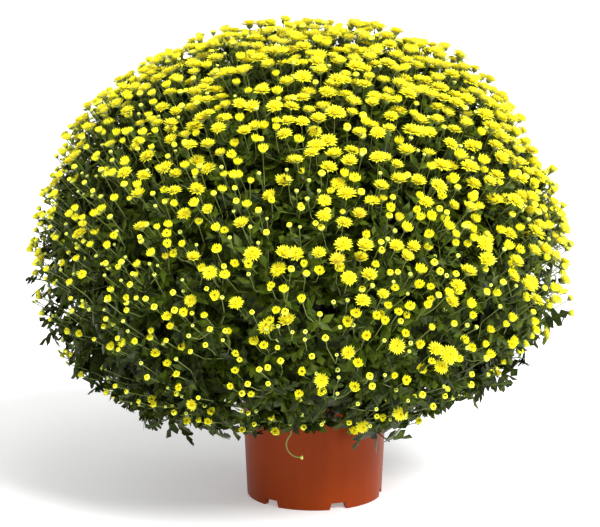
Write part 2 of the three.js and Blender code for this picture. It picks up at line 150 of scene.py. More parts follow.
def angles_of(point):
    """The direction from the ball's middle in which a point lies."""
    out = point - BALL_CENTRE
    height = BALL_UP if out.z > 0 else BALL_DOWN
    return math.atan2(out.y, out.x), math.atan2(math.hypot(out.x, out.y) / BALL_HALF, out.z / height)


def share_of(point):
    """How far out a point lies, as a share of the way to the ball's surface."""
    return (point - BALL_CENTRE).length / (place(*angles_of(point), 1) - BALL_CENTRE).length


def head_openness(phi, theta):
    """The share of the frame's flower heads that are open: most at the top and on the right."""
    side = 0.25 * math.sin(theta) * math.cos(phi) - 0.04 * math.sin(4 * phi)
    return 0.62 + 0.22 * math.cos(theta) + side


def border_at(degrees, phi):
    """A border of a ring of cells, in degrees down from the top. Between two rings it waves a little."""
    is_edge = degrees in (RINGS[0]["start"], RINGS[-1]["stop"])
    return degrees + (0 if is_edge else BORDER_WAVE * math.sin(5 * phi + degrees))


class Cell:
    """A part of the ball, with a square of its own, -1 to 1 both ways."""

    def __init__(self, index, ring, number):
        self.index = index
        self.ring = ring
        self.number = number
        self.label = f"{index + 1:02d}"
        self.half_turn = math.pi / ring["cells"]
        self.phi = math.radians(ring["turn"]) + 2 * self.half_turn * number
        self.wide = (self.at(1, 0, 1) - self.at(-1, 0, 1)).length
        self.tall = (self.at(0, 1, 1) - self.at(0, -1, 1)).length
        self.hub = self.at(0, 0, HUB_DEPTH)
        circle = ring["root_circle"]
        self.root = Vector((circle * math.cos(self.phi), circle * math.sin(self.phi), COMPOST_TOP))

    def direction(self, a, b):
        ring = self.ring
        if ring["cells"] > 1:
            phi = self.phi + a * self.half_turn
            down = lerp(border_at(ring["start"], phi), border_at(ring["stop"], phi), (b + 1) / 2)
            return phi, math.radians(down)
        x = a * math.sqrt(1 - b * b / 2)
        y = b * math.sqrt(1 - a * a / 2)
        phi = math.atan2(y, x)
        return phi, math.radians(border_at(ring["stop"], phi)) * math.hypot(x, y)

    def at(self, a, b, share):
        return place(*self.direction(a, b), share)

    def head_directions(self):
        """Where the frame's flower heads stand, each with its number."""
        for i in range(HEADS_IN_CELL):
            a, b = (
                2 * ((chance(self.index, salt) + step * (i + 1)) % 1) - 1
                for step, salt in zip(GOLDEN_STEPS, SALT["across"])
            )
            a *= 1 - 2 * HEAD_MARGIN / self.wide
            b *= 1 - 2 * HEAD_MARGIN / self.tall
            yield self.index * HEADS_IN_CELL + i, *self.direction(a, b)


def all_cells():
    numbered = [(ring, number) for ring in RINGS for number in range(ring["cells"])]
    return [Cell(index, ring, number) for index, (ring, number) in enumerate(numbered)]


def cell_at(cells, phi, theta):
    """The cell that a direction falls in. What hangs under the last ring belongs to it."""
    down = math.degrees(theta)
    ring = next((r for r in RINGS if down < border_at(r["stop"], phi)), RINGS[-1])
    number = round((phi - math.radians(ring["turn"])) * ring["cells"] / (2 * math.pi)) % ring["cells"]
    return next(cell for cell in cells if cell.ring is ring and cell.number == number)


# ---- Curves and turns ---------------------------------------------------------------------------


def bezier(start, pull, end, share):
    return start * (1 - share) ** 2 + pull * (2 * share * (1 - share)) + end * share**2


def square_to(axis, guide):
    """The guide's direction with its part along the axis taken out."""
    flat = guide - axis * guide.dot(axis)
    if flat.length < 1e-6:
        flat = axis.orthogonal()
    return flat.normalized()


def turned(vector, axis, angle):
    return Matrix.Rotation(angle, 3, axis) @ vector


def in_mm(lengths):
    """Lengths given in millimetres, in metres."""
    return [length * MM for length in lengths]


# ---- Where everything grows ---------------------------------------------------------------------

# Kinds of flower head, in the order of their forms.
OPEN, LOOSE, CUP, BUD, TIGHT = range(5)
# Each kind's range of radius in millimetres, and its green cup's radius and depth as shares of that radius.
HEAD_KINDS = {
    OPEN: {"radius": (8.6, 11.8), "cup": 0.40, "depth": 0.46},
    LOOSE: {"radius": (7.6, 10.6), "cup": 0.42, "depth": 0.50},
    CUP: {"radius": (4.2, 6.4), "cup": 0.66, "depth": 0.66},
    BUD: {"radius": (3.2, 4.5), "cup": 0.84, "depth": 0.90},
    TIGHT: {"radius": (2.1, 3.0), "cup": 0.90, "depth": 1.00},
}
LEAF_KINDS = 4
INNER_LEAF = 4
BRACT = 5
TUBE = -1

# Sprays that stand out from the ball: the turn from +X and the way down from the top in degrees, how far
# out they come, and what they carry.
STRAYS = (
    (-6, 114, 1.02, (OPEN,)),
    (0, 108, 1.07, (CUP, BUD)),
    (-4, 120, 1.06, ()),
    (-4, 124, 1.07, ()),
    (-11, 129, 1.07, ()),
    (180, 96, 1.04, ()),
    (-177, 108, 1.04, ()),
    (-168, 137, 1.05, ()),
    (-154, 140, 1.03, ()),
    (-132, 144, 1.03, ()),
    (-113, 141, 1.02, ()),
    (-172, 138, 0.98, (LOOSE, CUP, CUP)),
    (-116, 122, 0.99, (LOOSE, CUP, BUD, BUD)),
    (-86, 111, 0.99, (LOOSE, CUP)),
    (-71, 102, 0.99, (OPEN, BUD)),
    (-58, 107, 0.99, (OPEN,)),
    (-71, 137, 1.0, (OPEN, CUP, CUP, BUD)),
    (-64, 128, 0.99, (OPEN, BUD)),
    (-50, 146, 1.1, ()),
)
# Where the plant stands out from the ball or is drawn in: the turn, the way down and how wide, in degrees,
# and how much.
BUMPS = (
    (0, 36, 16, 0.03),
    (0, 62, 15, -0.05),
    (180, 50, 14, 0.035),
    (180, 116, 20, 0.025),
    (-20, 124, 14, -0.035),
    (0, 142, 30, -0.08),
    (-90, 150, 22, -0.11),
)
# A thin bare shoot that hangs over the pot's front and curls up to a bud. Its girths and bud in millimetres.
CURL = {
    "root": Vector((-0.031, -0.150, 0.156)),
    "centre": Vector((-0.020, -0.163, 0.109)),
    "radius": 0.016,
    "turn": (130, 275),
    "steps": 8,
    "girths": [1.0] * 4 + [0.85] * 6,
    "bud": 2.6,
    "bud_ahead": 1.6,
}
# Where the leaves part and the pot shows: a spot on the pot, the way out from it, and a radius.
PARTING = {"spot": Vector((0.028, -0.10, 0.150)), "out": Vector((0, -0.98, 0.19)), "radius": 0.017}

# What a place on the ball adds to a trait of the plant, by the measures of a Spot.
TRAITS = {
    "fork_room": {"low": 0.28, "high": -0.08, "flank": 0.22},
    "open_share": {"up": 0.34, "side": 0.23, "high": 0.28, "flank": -0.2},
    "cup_share": {"low": -0.12},
    "side_heads": {"side": -0.4, "high": 0.6, "flank": -1.5},
    "head_size": {"side": 0.13, "up": 0.06},
    "head_room": {"side": -0.12, "high": -0.08},
}
# The room round an added fork, as a share of the fork gap, and round a head, as a share of its radius.
FORK_ROOM = 0.5
HEAD_ROOM = 0.96
# How far out forks at the lower edge come, and leaves at the top and at the sides, as shares of the ball.
LOW_FORKS = 0.025
TOP_LEAVES = 0.03
SIDE_LEAVES = 0.04
# The least and most share of open heads, the shares of cups and buds among the others, and the luck of a
# fork's middle head: below the first number at an open fork, and above the second at any other.
OPEN_LIMITS = (0.01, 0.8)
CUP_SHARE = 0.43
BUD_SHARE = 0.28
OPEN_LUCK = 0.75
SHUT_LUCK = 0.35
# Heads beside a fork's middle one: how many, the share of them that the lower edge lacks, the tries at a
# place for each, how far it may turn and drop, how far away it is, and how far it may rise, from half way
# down to the top.
SIDE_HEADS = {
    "count": (2.2, 5.2),
    "thinning": 0.5,
    "tries": 8,
    "turn": 0.6,
    "drop": -0.017,
    "away": (0.012, 0.033),
    "rise": (0.006, 0.001),
}
# How strongly a head faces out, along its shoot, and away from the middle head per metre, and how much of
# the turn to the light is left to a spray that stands out.
FACE_OUT = 0.5
FACE_GROWTH = 0.7
FACE_AWAY = 0.4 / 0.03
STRAY_LIGHT = 0.3
# Radii of tubes from start to end, in millimetres.
STEM_GIRTHS = (3.3, 3.2, 3.0, 2.8, 2.5, 2.3, 2.1)
BRANCH_GIRTHS = (1.8, 1.5, 1.25, 1.0, 0.8)
STALK_GIRTHS = (0.8, 0.6, 0.6)
# A stem's foot and neck from the compost's top, the share of the way out that it heads for, and how far
# its bend leans that way.
STEM = {"foot": -0.012, "neck": 0.006, "end": 0.756, "lean": 0.12}
# A green cup's radius at three steps of its depth, as shares of its full ones.
CUP_STEPS = (0.12, 0.5, 0.86)
CUP_GIRTHS = (0.72, 1.0, 0.9)
# Bracts on a stalk: the stretches that may hold one, how often they do, and its size.
BRACTS = {"stretches": ((0.05, 0.3), (0.3, 0.55), (0.55, 0.8)), "chance": 0.8, "size": (0.42, 0.70)}
# Leaves in turn: the stretch of the branch that holds them, and their size from its start to its end.
LEAF_STRETCH = (0.35, 1.0)
LEAF_SIZE = (1.1, 0.66)
# Random turns are drawn up to here, a little over one round.
TURN_SPAN = 7
# Nearly upright. Turns about the ball's normal are counted from it.
GUIDE = Vector((0.01, 0, 1))


class Skeleton:
    """Lines for tubes, and loose points for leaves or heads, which the growth tree turns into meshes."""

    def __init__(self):
        self.points = []
        self.edges = []
        self.rows = {"kind": [], "girth": [], "size": [], "tone": [], "facing": [], "ahead": []}

    def _point(self, point, **row):
        self.points.append(point)
        for name, values in self.rows.items():
            values.append(row.get(name, (0, 0, 1) if name in ("facing", "ahead") else 0))
        return len(self.points) - 1

    def line(self, points, girths, first_tone, last_tone):
        """A tube along points, with its radius at each. Tone 0 is a pale stalk and 1 an old stem."""
        last = None
        for i, (point, girth) in enumerate(zip(points, girths)):
            tone = lerp(first_tone, last_tone, i / (len(points) - 1))
            this = self._point(point, kind=TUBE, girth=girth, tone=tone)
            if last is not None:
                self.edges.append((last, this))
            last = this

    def form(self, point, kind, size, facing, ahead, tone):
        """One leaf or head: facing is the way its face looks, ahead the way its tip points."""
        flat = square_to(facing, ahead)
        self._point(point, kind=kind, size=size, facing=tuple(facing), ahead=tuple(flat), tone=tone)

    def mesh(self, name):
        mesh = bpy.data.meshes.new(name)
        mesh.from_pydata([tuple(p) for p in self.points], self.edges, [])
        kinds = {"kind": "INT", "facing": "FLOAT_VECTOR", "ahead": "FLOAT_VECTOR"}
        for row, values in self.rows.items():
            kind = kinds.get(row, "FLOAT")
            attribute = mesh.attributes.new(row, kind, "POINT")
            if kind == "FLOAT_VECTOR":
                attribute.data.foreach_set("vector", [x for value in values for x in value])
            else:
                attribute.data.foreach_set("value", values)
        return mesh


class Crowd:
    """Where things stand, kept in cubes of space, to find room for one more."""

    CUBE = 0.06

    def __init__(self):
        self.cubes = {}

    def _cube(self, point):
        return [math.floor(x / self.CUBE) for x in point]

    def add(self, point, size):
        self.cubes.setdefault(tuple(self._cube(point)), []).append((point, size))

    def has_room(self, point, size):
        around = itertools.product(*((x - 1, x, x + 1) for x in self._cube(point)))
        near = itertools.chain.from_iterable(self.cubes.get(cube, ()) for cube in around)
        return all((point - other).length > size + other_size for other, other_size in near)


class Spot:
    """A direction from the ball's middle, with the measures that the plant's growth goes by.

    up is 1 at the top and -1 at the bottom, and side 1 at the right and -1 at the left. low is 0 over most of
    the ball and rises to 1 at its lower edge. high is 1 at the top and falls to 0 below the shoulders. flank
    is 1 low on the left and on the right, where flowers are few, and falls to 0 in front and above.
    """

    def __init__(self, phi, theta):
        down = math.degrees(theta)
        self.phi = phi
        self.theta = theta
        self.out = outward(phi, theta)
        self.up = math.cos(theta)
        self.side = math.sin(theta) * math.cos(phi)
        self.low = clamp((down - 98) / 26)
        self.high = clamp((75 - down) / 35)
        self.flank = clamp((abs(math.cos(phi)) - 0.6) / 0.3) * clamp((down - 82) / 20)

    def grown(self, trait, value):
        """A trait's value half way down the plant, changed to what it is here."""
        for measure, added in TRAITS[trait].items():
            value += added * getattr(self, measure)
        return value

    def around(self, angle):
        """A direction along the ball's surface, at an angle about its normal."""
        return turned(square_to(self.out, GUIDE), self.out, angle)


class Fork(Spot):
    """Where a branch ends and its flower stalks part."""

    def __init__(self, cell, phi, theta, share, is_open, kinds=None):
        super().__init__(phi, theta)
        self.cell = cell
        self.is_open = is_open
        self.kinds = kinds
        self.top = place(phi, theta, share * trim(phi, theta) + LOW_FORKS * self.low)
        self.grow = (self.top - SPREAD_POINT).normalized()
        self.far = max(share - 1, 0.0)
        self.stalks = []


def trim(phi, theta):
    """The plant's own reach in a direction, as a share of the ball's."""
    reach = 1.0
    for turn, down, spread, rise in BUMPS:
        turn, down = math.radians(turn), math.radians(down)
        near = math.cos(theta) * math.cos(down) + math.sin(theta) * math.sin(down) * math.cos(phi - turn)
        away = math.degrees(math.acos(clamp(near, -1.0, 1.0)))
        reach += rise * math.exp(-((away / spread) ** 2))
    return reach


def is_parted(point):
    """Whether a point lies where the leaves part."""
    away = point - PARTING["spot"]
    along = away.dot(PARTING["out"])
    return along > 0 and (away - PARTING["out"] * along).length < PARTING["radius"]


class Plant:
    """Where every branch, leaf, stalk and flower head is. It is worked out once for all operators."""

    def __init__(self, foliage, blooms):
        self.foliage = foliage
        self.blooms = blooms
        self.cells = all_cells()
        self.random = random.Random(blooms.seed)
        self.shoots = {cell.index: Skeleton() for cell in self.cells}
        self.sprays = {cell.index: Skeleton() for cell in self.cells}
        self.heads = Crowd()
        forks = self._forks()
        for fork in forks:
            self._flowers(fork)
        for cell in self.cells:
            self._stem(cell)
        for fork in forks:
            self._branch(fork)
        self._curl()

    def _toss(self):
        """A random vector in a cube about zero."""
        return Vector([self.random.uniform(-1, 1) for _ in range(3)])

    def _forks(self):
        """One fork for each of the frame's heads, and more of them where there is room between."""
        draw = self.random
        found = []
        crowd = Crowd()
        half_gap = self.blooms.fork_gap / 2

        def add(fork, gap):
            found.append(fork)
            crowd.add(place(fork.phi, fork.theta, 1), gap)

        for cell in self.cells:
            for salt, phi, theta in cell.head_directions():
                share = 1 - HEAD_LAYER * chance(salt, SALT["layer"])
                is_open = chance(salt, SALT["open"]) < head_openness(phi, theta)
                add(Fork(cell, phi, theta, share, is_open), half_gap)
        for turn, down, share, kinds in STRAYS:
            phi, theta = math.radians(turn), math.radians(down)
            add(Fork(cell_at(self.cells, phi, theta), phi, theta, share, True, kinds), half_gap)
        lowest = math.cos(math.radians(RINGS[-1]["stop"]))
        for _ in range(self.blooms.fork_tries):
            phi = draw.uniform(-math.pi, math.pi)
            theta = math.acos(draw.uniform(lowest, 1))
            gap = self.blooms.fork_gap * Spot(phi, theta).grown("fork_room", FORK_ROOM)
            surface = place(phi, theta, 1)
            if crowd.has_room(surface, gap) and not is_parted(surface):
                share = 1 - HEAD_LAYER * draw.random()
                cell = cell_at(self.cells, phi, theta)
                add(Fork(cell, phi, theta, share, draw.random() < 0.5), gap)
        return found

    def _kind(self, fork, is_first):
        """The stage of a flower: more are open at the top and on the right."""
        draw = self.random
        share = clamp(fork.grown("open_share", self.blooms.open_share), *OPEN_LIMITS)
        luck = draw.random()
        if is_first:
            luck = luck * OPEN_LUCK if fork.is_open else lerp(SHUT_LUCK, 1, luck)
        if luck < share:
            return OPEN if draw.random() < 0.5 else LOOSE
        rest = (luck - share) / (1 - share)
        cups = fork.grown("cup_share", CUP_SHARE)
        return CUP if rest < cups else BUD if rest < cups + BUD_SHARE else TIGHT

    def _head_size(self, fork, kind):
        """A radius. Heads are larger at the top and on the right."""
        low, high = HEAD_KINDS[kind]["radius"]
        return lerp(low, high, self.random.random()) * fork.grown("head_size", 1) * MM * self.blooms.size

    def _kinds(self, fork):
        """The stages of a fork's flowers, first the middle one."""
        if fork.kinds is not None:
            return fork.kinds
        sides = self.random.uniform(*SIDE_HEADS["count"]) * (1 - SIDE_HEADS["thinning"] * fork.low)
        sides = fork.grown("side_heads", sides)
        return [self._kind(fork, i == 0) for i in range(max(round(sides), 0) + 1)]

    def _flowers(self, fork):
        """A flower at the fork's top, and others beside it where there is room."""
        draw = self.random
        start = draw.uniform(0, 2 * math.pi)
        light = self.blooms.light * (STRAY_LIGHT if fork.kinds is not None else 1)
        for i, kind in enumerate(self._kinds(fork)):
            size = self._head_size(fork, kind)
            centre = self._room_beside(fork, start + i * GOLDEN_TURN, size) if i else fork.top
            if centre is None:
                continue
            away = (centre - fork.top) * FACE_AWAY
            out = outward(*angles_of(centre))
            lean = self._toss() * self.blooms.unevenness
            facing = (out * FACE_OUT + fork.grow * FACE_GROWTH + UP * light + away + lean).normalized()
            self.heads.add(centre, self._girth(fork, size))
            self.sprays[fork.cell.index].form(centre, kind, size, facing, self._toss(), draw.random())
            fork.stalks.append((centre, facing, kind, size))

    def _girth(self, fork, size):
        """How much room a flower takes: they crowd at the top and on the right."""
        return size * fork.grown("head_room", HEAD_ROOM)

    def _room_beside(self, fork, angle, size):
        """A place for a side flower near the middle one, or None where others stand in the way."""
        draw = self.random
        turn = SIDE_HEADS["turn"]
        for _ in range(SIDE_HEADS["tries"]):
            away = fork.around(angle + draw.uniform(-turn, turn))
            rise = draw.uniform(SIDE_HEADS["drop"], lerp(*SIDE_HEADS["rise"], fork.high))
            centre = fork.top + away * draw.uniform(*SIDE_HEADS["away"]) + fork.out * rise
            if self.heads.has_room(centre, self._girth(fork, size)):
                return centre
        return None

    def _stem(self, cell):
        """The main stem, from its hole in the compost to the hub that the branches leave from."""
        foot = cell.root + UP * STEM["foot"]
        neck = cell.root + UP * STEM["neck"]
        end = cell.at(0, 0, STEM["end"])
        pull = lerp(cell.root, end, STEM["lean"])
        pull.z = COMPOST_TOP + cell.ring["rise"]
        points = [foot, neck, *(bezier(neck, pull, end, t) for t in (0.2, 0.4, 0.6, 0.8)), cell.hub]
        self.shoots[cell.index].line(points, in_mm(STEM_GIRTHS), 1.0, 1.0)

    def _branch(self, fork):
        """A branch from the stem's hub to the knot where its flower stalks part, with its leaves."""
        draw = self.random
        shoot = self.shoots[fork.cell.index]
        hub = fork.cell.hub
        lead = sum((facing for _, facing, _, _ in fork.stalks), Vector()).normalized()
        length = self.blooms.stalk * (1 - 0.42 * fork.side**2)
        knot = fork.top - (lead * 0.4 + fork.grow).normalized() * length
        pull = knot - fork.grow * (0.5 * (knot - hub).length)
        route = [bezier(hub, pull, knot, t) for t in (0, 0.25, 0.5, 0.75, 1)]
        shoot.line(route, in_mm(BRANCH_GIRTHS), 0.8, 0.65)
        self._leaves_along(fork, hub, pull, knot)
        for i, (centre, facing, kind, size) in enumerate(fork.stalks):
            start = bezier(hub, pull, knot, 1 - 0.3 * draw.random()) if i else knot
            grow = (fork.grow + self._toss() * 0.12).normalized()
            self._stalk(shoot, start, grow, centre, facing, kind, size, draw.uniform(0.1, 0.5))
            for low, high in BRACTS["stretches"]:
                middle = lerp(start, centre, draw.uniform(low, high))
                scale = draw.uniform(*BRACTS["size"]) * (1.3 - high)
                if draw.random() < BRACTS["chance"]:
                    self._leaf(fork, middle, grow, draw.uniform(0, TURN_SPAN), scale, 0.6, BRACT)

    def _stalk(self, shoot, start, grow, centre, facing, kind, size, tone):
        """A flower's stalk. It soon runs the way the plant grows, and its end widens into a green cup."""
        about = HEAD_KINDS[kind]
        cup = about["cup"] * size
        depth = about["depth"] * size
        low = centre - facing * depth
        neck = low - facing * 0.0012
        pull = neck - (facing * 0.35 + grow).normalized() * (0.72 * (neck - start).length)
        route = [start, bezier(start, pull, neck, 0.55), neck]
        route += [low + facing * (share * depth) for share in CUP_STEPS]
        girths = in_mm(STALK_GIRTHS) + [share * cup for share in CUP_GIRTHS]
        shoot.line(route, girths, 0.35, tone * 0.4)

    def _curl(self):
        """The bare shoot that hangs before the pot."""
        first, last = (math.radians(angle) for angle in CURL["turn"])
        route = [CURL["root"]]
        for k in range(CURL["steps"] + 1):
            turn = lerp(first, last, k / CURL["steps"])
            way = Vector((math.cos(turn), 0.1 * math.sin(turn), math.sin(turn)))
            route.append(CURL["centre"] + way * CURL["radius"])
        cell = cell_at(self.cells, *angles_of(CURL["centre"]))
        self.shoots[cell.index].line(route, in_mm(CURL["girths"]), 0.0, 0.0)
        ahead = (route[-1] - route[-2]).normalized()
        end = route[-1] + ahead * (CURL["bud_ahead"] * MM)
        self.sprays[cell.index].form(end, TIGHT, CURL["bud"] * MM, ahead, UP, 0.3)

    def _leaves_along(self, fork, hub, pull, knot):
        """Lobed leaves in turn along a branch, and plain ones deeper in the plant, which their low tone
        paints dark as shade.
        """
        draw = self.random
        count = self.foliage.leaves_on_branch + round(1.5 * fork.side**2)
        start = draw.uniform(0, 2 * math.pi)
        for i in range(count):
            share = lerp(*LEAF_STRETCH, (i + draw.random()) / count)
            point = bezier(hub, pull, knot, share)
            along = (bezier(hub, pull, knot, share + 0.05) - point).normalized()
            scale = lerp(*LEAF_SIZE, share) * draw.uniform(0.85, 1.15) * (1 + 0.15 * fork.low + 4 * fork.far)
            kind = draw.randrange(LEAF_KINDS)
            self._leaf(fork, point, along, start + i * GOLDEN_TURN, scale, lerp(0.3, 1.0, share), kind)
        for _ in range(self.foliage.inner_leaves):
            point = bezier(hub, pull, knot, draw.uniform(0.1, 0.8))
            away = fork.around(draw.uniform(0, TURN_SPAN))
            size = self.foliage.leaf_length * draw.uniform(1.2, 1.7)
            face = (fork.out + UP * 0.2 + away * 0.45).normalized()
            ahead = away - fork.out * 0.4
            # The low tone gives these inner leaves the dark leaf colour: painted shade deep in the plant.
            self.shoots[fork.cell.index].form(point, INNER_LEAF, size, face, ahead, draw.uniform(0, 0.25))

    def _leaf(self, fork, point, along, angle, scale, lift, kind):
        """A leaf that leaves its stem sideways, with its face up the stem. Low ones hang."""
        draw = self.random
        foliage = self.foliage
        here = Spot(*angles_of(point))
        side = turned(along.orthogonal().normalized(), along, angle)
        ahead = (side + along * lift + here.out * 0.25 - UP * (here.low * foliage.droop)).normalized()
        size = foliage.leaf_length * scale
        reach = lerp(foliage.reach, foliage.reach_low, here.low) + TOP_LEAVES * here.high
        reach = (reach + SIDE_LEAVES * fork.side**2) * trim(here.phi, here.theta) + fork.far
        if share_of(point + ahead * size) > reach:
            ahead = (ahead - here.out * (ahead.dot(here.out) * 0.9)).normalized()
            size *= 1 if share_of(point + ahead * size) < reach + 0.02 else 0.75
        if any(is_parted(point + ahead * (size * share)) for share in (0.0, 0.5, 1.0)):
            return
        face = square_to(ahead, here.out * 0.8 + UP * 0.55 + along * 0.3)
        # Leaves towards the lower edge get a lower tone, so they are darker.
        tone = draw.random() * (1 - 0.45 * here.low)
        twist = draw.uniform(-1, 1) * lerp(0.45, 1.3, here.low)
        self.shoots[fork.cell.index].form(point, kind, size, turned(face, ahead, twist), ahead, tone)


# ---- Forms that are repeated --------------------------------------------------------------------


class Sketch:
    """Points, faces, and the look of each point: how far along and across, and how ripe or which side."""

    def __init__(self):
        self.points = []
        self.faces = []
        self.looks = []

    def add(self, points, faces, looks):
        first = len(self.points)
        self.points += [tuple(p) for p in points]
        self.faces += [tuple(first + k for k in face) for face in faces]
        self.looks += looks

    def lathe(self, profile, sides, looks, ribs=0.0):
        """A closed form turned about its axis, from (radius, height) pairs between its two end points."""
        (low, high), rings = (profile[0][1], profile[-1][1]), profile[1:-1]
        points = [(0, 0, low), (0, 0, high)]
        shades = [looks[0], looks[-1]]
        for (radius, height), look in zip(rings, looks[1:-1]):
            for k in range(sides):
                angle = 2 * math.pi * k / sides
                reach = radius * (1 + (ribs if k % 2 else -ribs))
                points.append((reach * math.cos(angle), reach * math.sin(angle), height))
                shades.append(look)
        faces = []
        for k in range(sides):
            after = (k + 1) % sides
            faces.append((0, 2 + after, 2 + k))
            for row in range(len(rings) - 1):
                here, above = 2 + row * sides, 2 + (row + 1) * sides
                faces.append((here + k, here + after, above + after, above + k))
            top = 2 + (len(rings) - 1) * sides
            faces.append((top + k, top + after, 1))
        self.add(points, faces, shades)

    def mesh(self, name, smooth_angle=None):
        mesh = bpy.data.meshes.new(name)
        mesh.from_pydata(self.points, [], self.faces)
        look = mesh.attributes.new("look", "FLOAT_VECTOR", "POINT")
        look.data.foreach_set("vector", [x for value in self.looks for x in value])
        outside(mesh)
        if smooth_angle is not None:
            smooth(mesh, smooth_angle)
        return mesh


def outside(mesh):
    """Turns every face of a closed mesh outwards."""
    work = bmesh.new()
    work.from_mesh(mesh)
    bmesh.ops.recalc_face_normals(work, faces=work.faces)
    work.to_mesh(mesh)
    work.free()


def smooth(mesh, angle):
    mesh.polygons.foreach_set("use_smooth", [True] * len(mesh.polygons))
    mesh.set_sharp_from_angle(angle=angle)


def add_petal(sketch, turn, foot, waist, tip, breadth):
    """A thin closed kite with four faces: foot, waist and tip are (radius, height) pairs."""
    cos, sin = math.cos(turn), math.sin(turn)

    def at(radius, across, height):
        return (radius * cos - across * sin, radius * sin + across * cos, height)

    points = [at(foot[0], 0, foot[1]), at(waist[0], breadth, waist[1])]
    points += [at(waist[0], -breadth, waist[1]), at(tip[0], 0, tip[1])]
    faces = [(0, 1, 3), (0, 3, 2), (0, 2, 1), (1, 2, 3)]
    looks = [(foot[0], 0, 1), (waist[0], 1, 1), (waist[0], -1, 1), (max(tip[0], 0.9), 0, 1)]
    sketch.add(points, faces, looks)


def petal_layer(sketch, draw, count, foot, waist, tip, breadth, jitter):
    """A ring of petals, each a little out of line."""
    start = draw.uniform(0, 2 * math.pi)
    for k in range(count):
        turn = start + 2 * math.pi * (k + draw.uniform(-0.16, 0.16)) / count
        reach = 1 + draw.uniform(-jitter, jitter)
        lift = draw.uniform(-jitter, jitter)
        ends = [(radius * reach, height + lift * radius) for radius, height in (waist, tip)]
        add_petal(sketch, turn, foot, ends[0], ends[1], breadth * draw.uniform(0.88, 1.1))


# Layers of petals: how many, the foot, waist and tip of each as (radius, height) pairs for a head of
# radius 1, half its breadth, and how far out of line it may be.
OPEN_LAYERS = (
    (21, (0.16, -0.12), (0.70, 0.04), (1.06, 0.06), 0.118, 0.10),
    (17, (0.15, 0.00), (0.58, 0.22), (0.90, 0.34), 0.118, 0.10),
    (12, (0.12, 0.06), (0.46, 0.30), (0.66, 0.44), 0.120, 0.10),
    (8, (0.08, 0.12), (0.29, 0.36), (0.43, 0.48), 0.108, 0.10),
)
LOOSE_LAYERS = (
    (18, (0.18, -0.22), (0.70, 0.06), (1.04, 0.26), 0.134, 0.10),
    (14, (0.16, -0.08), (0.56, 0.26), (0.82, 0.48), 0.130, 0.10),
    (10, (0.12, 0.04), (0.42, 0.36), (0.57, 0.54), 0.126, 0.10),
    (7, (0.08, 0.08), (0.26, 0.38), (0.36, 0.53), 0.108, 0.10),
)
CUP_LAYERS = (
    (12, (0.34, -0.50), (0.90, 0.14), (0.96, 0.86), 0.27, 0.13),
    (9, (0.22, -0.20), (0.66, 0.40), (0.60, 0.94), 0.24, 0.13),
    (6, (0.12, -0.05), (0.42, 0.44), (0.32, 0.82), 0.19, 0.12),
)
# The closed middles of heads, as rings of radius, height, how far along from the dark heart, and ripeness.
OPEN_HEART = (
    (0, -0.10, 0.4, 1),
    (0.34, 0.06, 0.4, 1),
    (0.20, 0.34, 0.3, 1),
    (0.10, 0.36, 0.08, 1),
    (0, 0.22, 0, 1),
)
CUP_HEART = (
    (0, -0.55, 0.9, 0.5),
    (0.55, -0.30, 0.9, 0.8),
    (0.62, 0.28, 0.5, 1),
    (0.28, 0.42, 0.06, 1),
    (0, 0.14, 0, 1),
)
BUD_GLOBE = (
    (0, -0.9, 0.9, 0.2),
    (1.0, -0.05, 0.9, 0.5),
    (0.90, 0.44, 0.9, 0.75),
    (0.62, 0.70, 0.9, 0.8),
    (0.40, 0.62, 0.3, 1),
    (0.28, 0.36, 0.05, 1),
    (0, 0.10, 0, 1),
)
TIGHT_GLOBE = (
    (0, -1.0, 0.9, 0),
    (1.0, 0.10, 0.9, 0.2),
    (0.82, 0.62, 0.9, 0.3),
    (0.52, 0.66, 0.6, 0.4),
    (0.38, 0.36, 0.04, 1),
    (0, 0.10, 0, 1),
)
# Edges of a bud stay sharp over this angle, in radians.
BUD_CREASE = 0.9


def head_form(name, draw, layers, rings, sides, ribs=0.0, crease=None):
    """A flower head: layers of petals, if it has any, round a closed middle."""
    sketch = Sketch()
    for layer in layers:
        petal_layer(sketch, draw, *layer)
    profile = [ring[:2] for ring in rings]
    sketch.lathe(profile, sides, [(along, 0, ripe) for _, _, along, ripe in rings], ribs)
    return sketch.mesh(name, crease)


def head_forms(draw):
    """The five kinds of flower head."""
    meshes = [
        head_form("head_open", draw, OPEN_LAYERS, OPEN_HEART, 6),
        head_form("head_loose", draw, LOOSE_LAYERS, OPEN_HEART, 6),
        head_form("head_cup", draw, CUP_LAYERS, CUP_HEART, 7),
        head_form("head_bud", draw, (), BUD_GLOBE, 8, 0.06, BUD_CREASE),
        head_form("head_tight", draw, (), TIGHT_GLOBE, 7, 0.04, BUD_CREASE),
    ]
    return collection_of("heads", meshes)


# Half a leaf's edge from its stalk to its tip, as shares of its length and of half its width. The
# middle of each row is the point of the midrib that its triangles fan out from.
LEAF_ROWS = (
    ((0.18, 0.0), ((0.15, 0.08), (0.20, 0.62), (0.35, 0.92), (0.40, 0.18))),
    ((0.40, 0.0), ((0.40, 0.18), (0.50, 0.92), (0.65, 1.0), (0.67, 0.20))),
    ((0.67, 0.0), ((0.67, 0.20), (0.83, 0.50), (1.0, 0.0))),
)
TOOTHED_ROWS = (
    ((0.18, 0.0), ((0.15, 0.08), (0.17, 0.48), (0.25, 0.58), (0.31, 0.92), (0.38, 0.74), (0.40, 0.18))),
    ((0.40, 0.0), ((0.40, 0.18), (0.48, 0.76), (0.55, 0.78), (0.62, 1.0), (0.68, 0.68), (0.67, 0.20))),
    ((0.67, 0.0), ((0.67, 0.20), (0.78, 0.52), (0.85, 0.34), (0.91, 0.36), (1.0, 0.0))),
)
INNER_ROWS = (((0.2, 0.0), ((0.12, 0.2), (0.36, 1.0), (0.52, 0.5), (0.70, 0.95), (1.0, 0.0))),)
BRACT_ROWS = (((0.3, 0.0), ((0.15, 0.25), (0.50, 1.0), (1.0, 0.0))),)
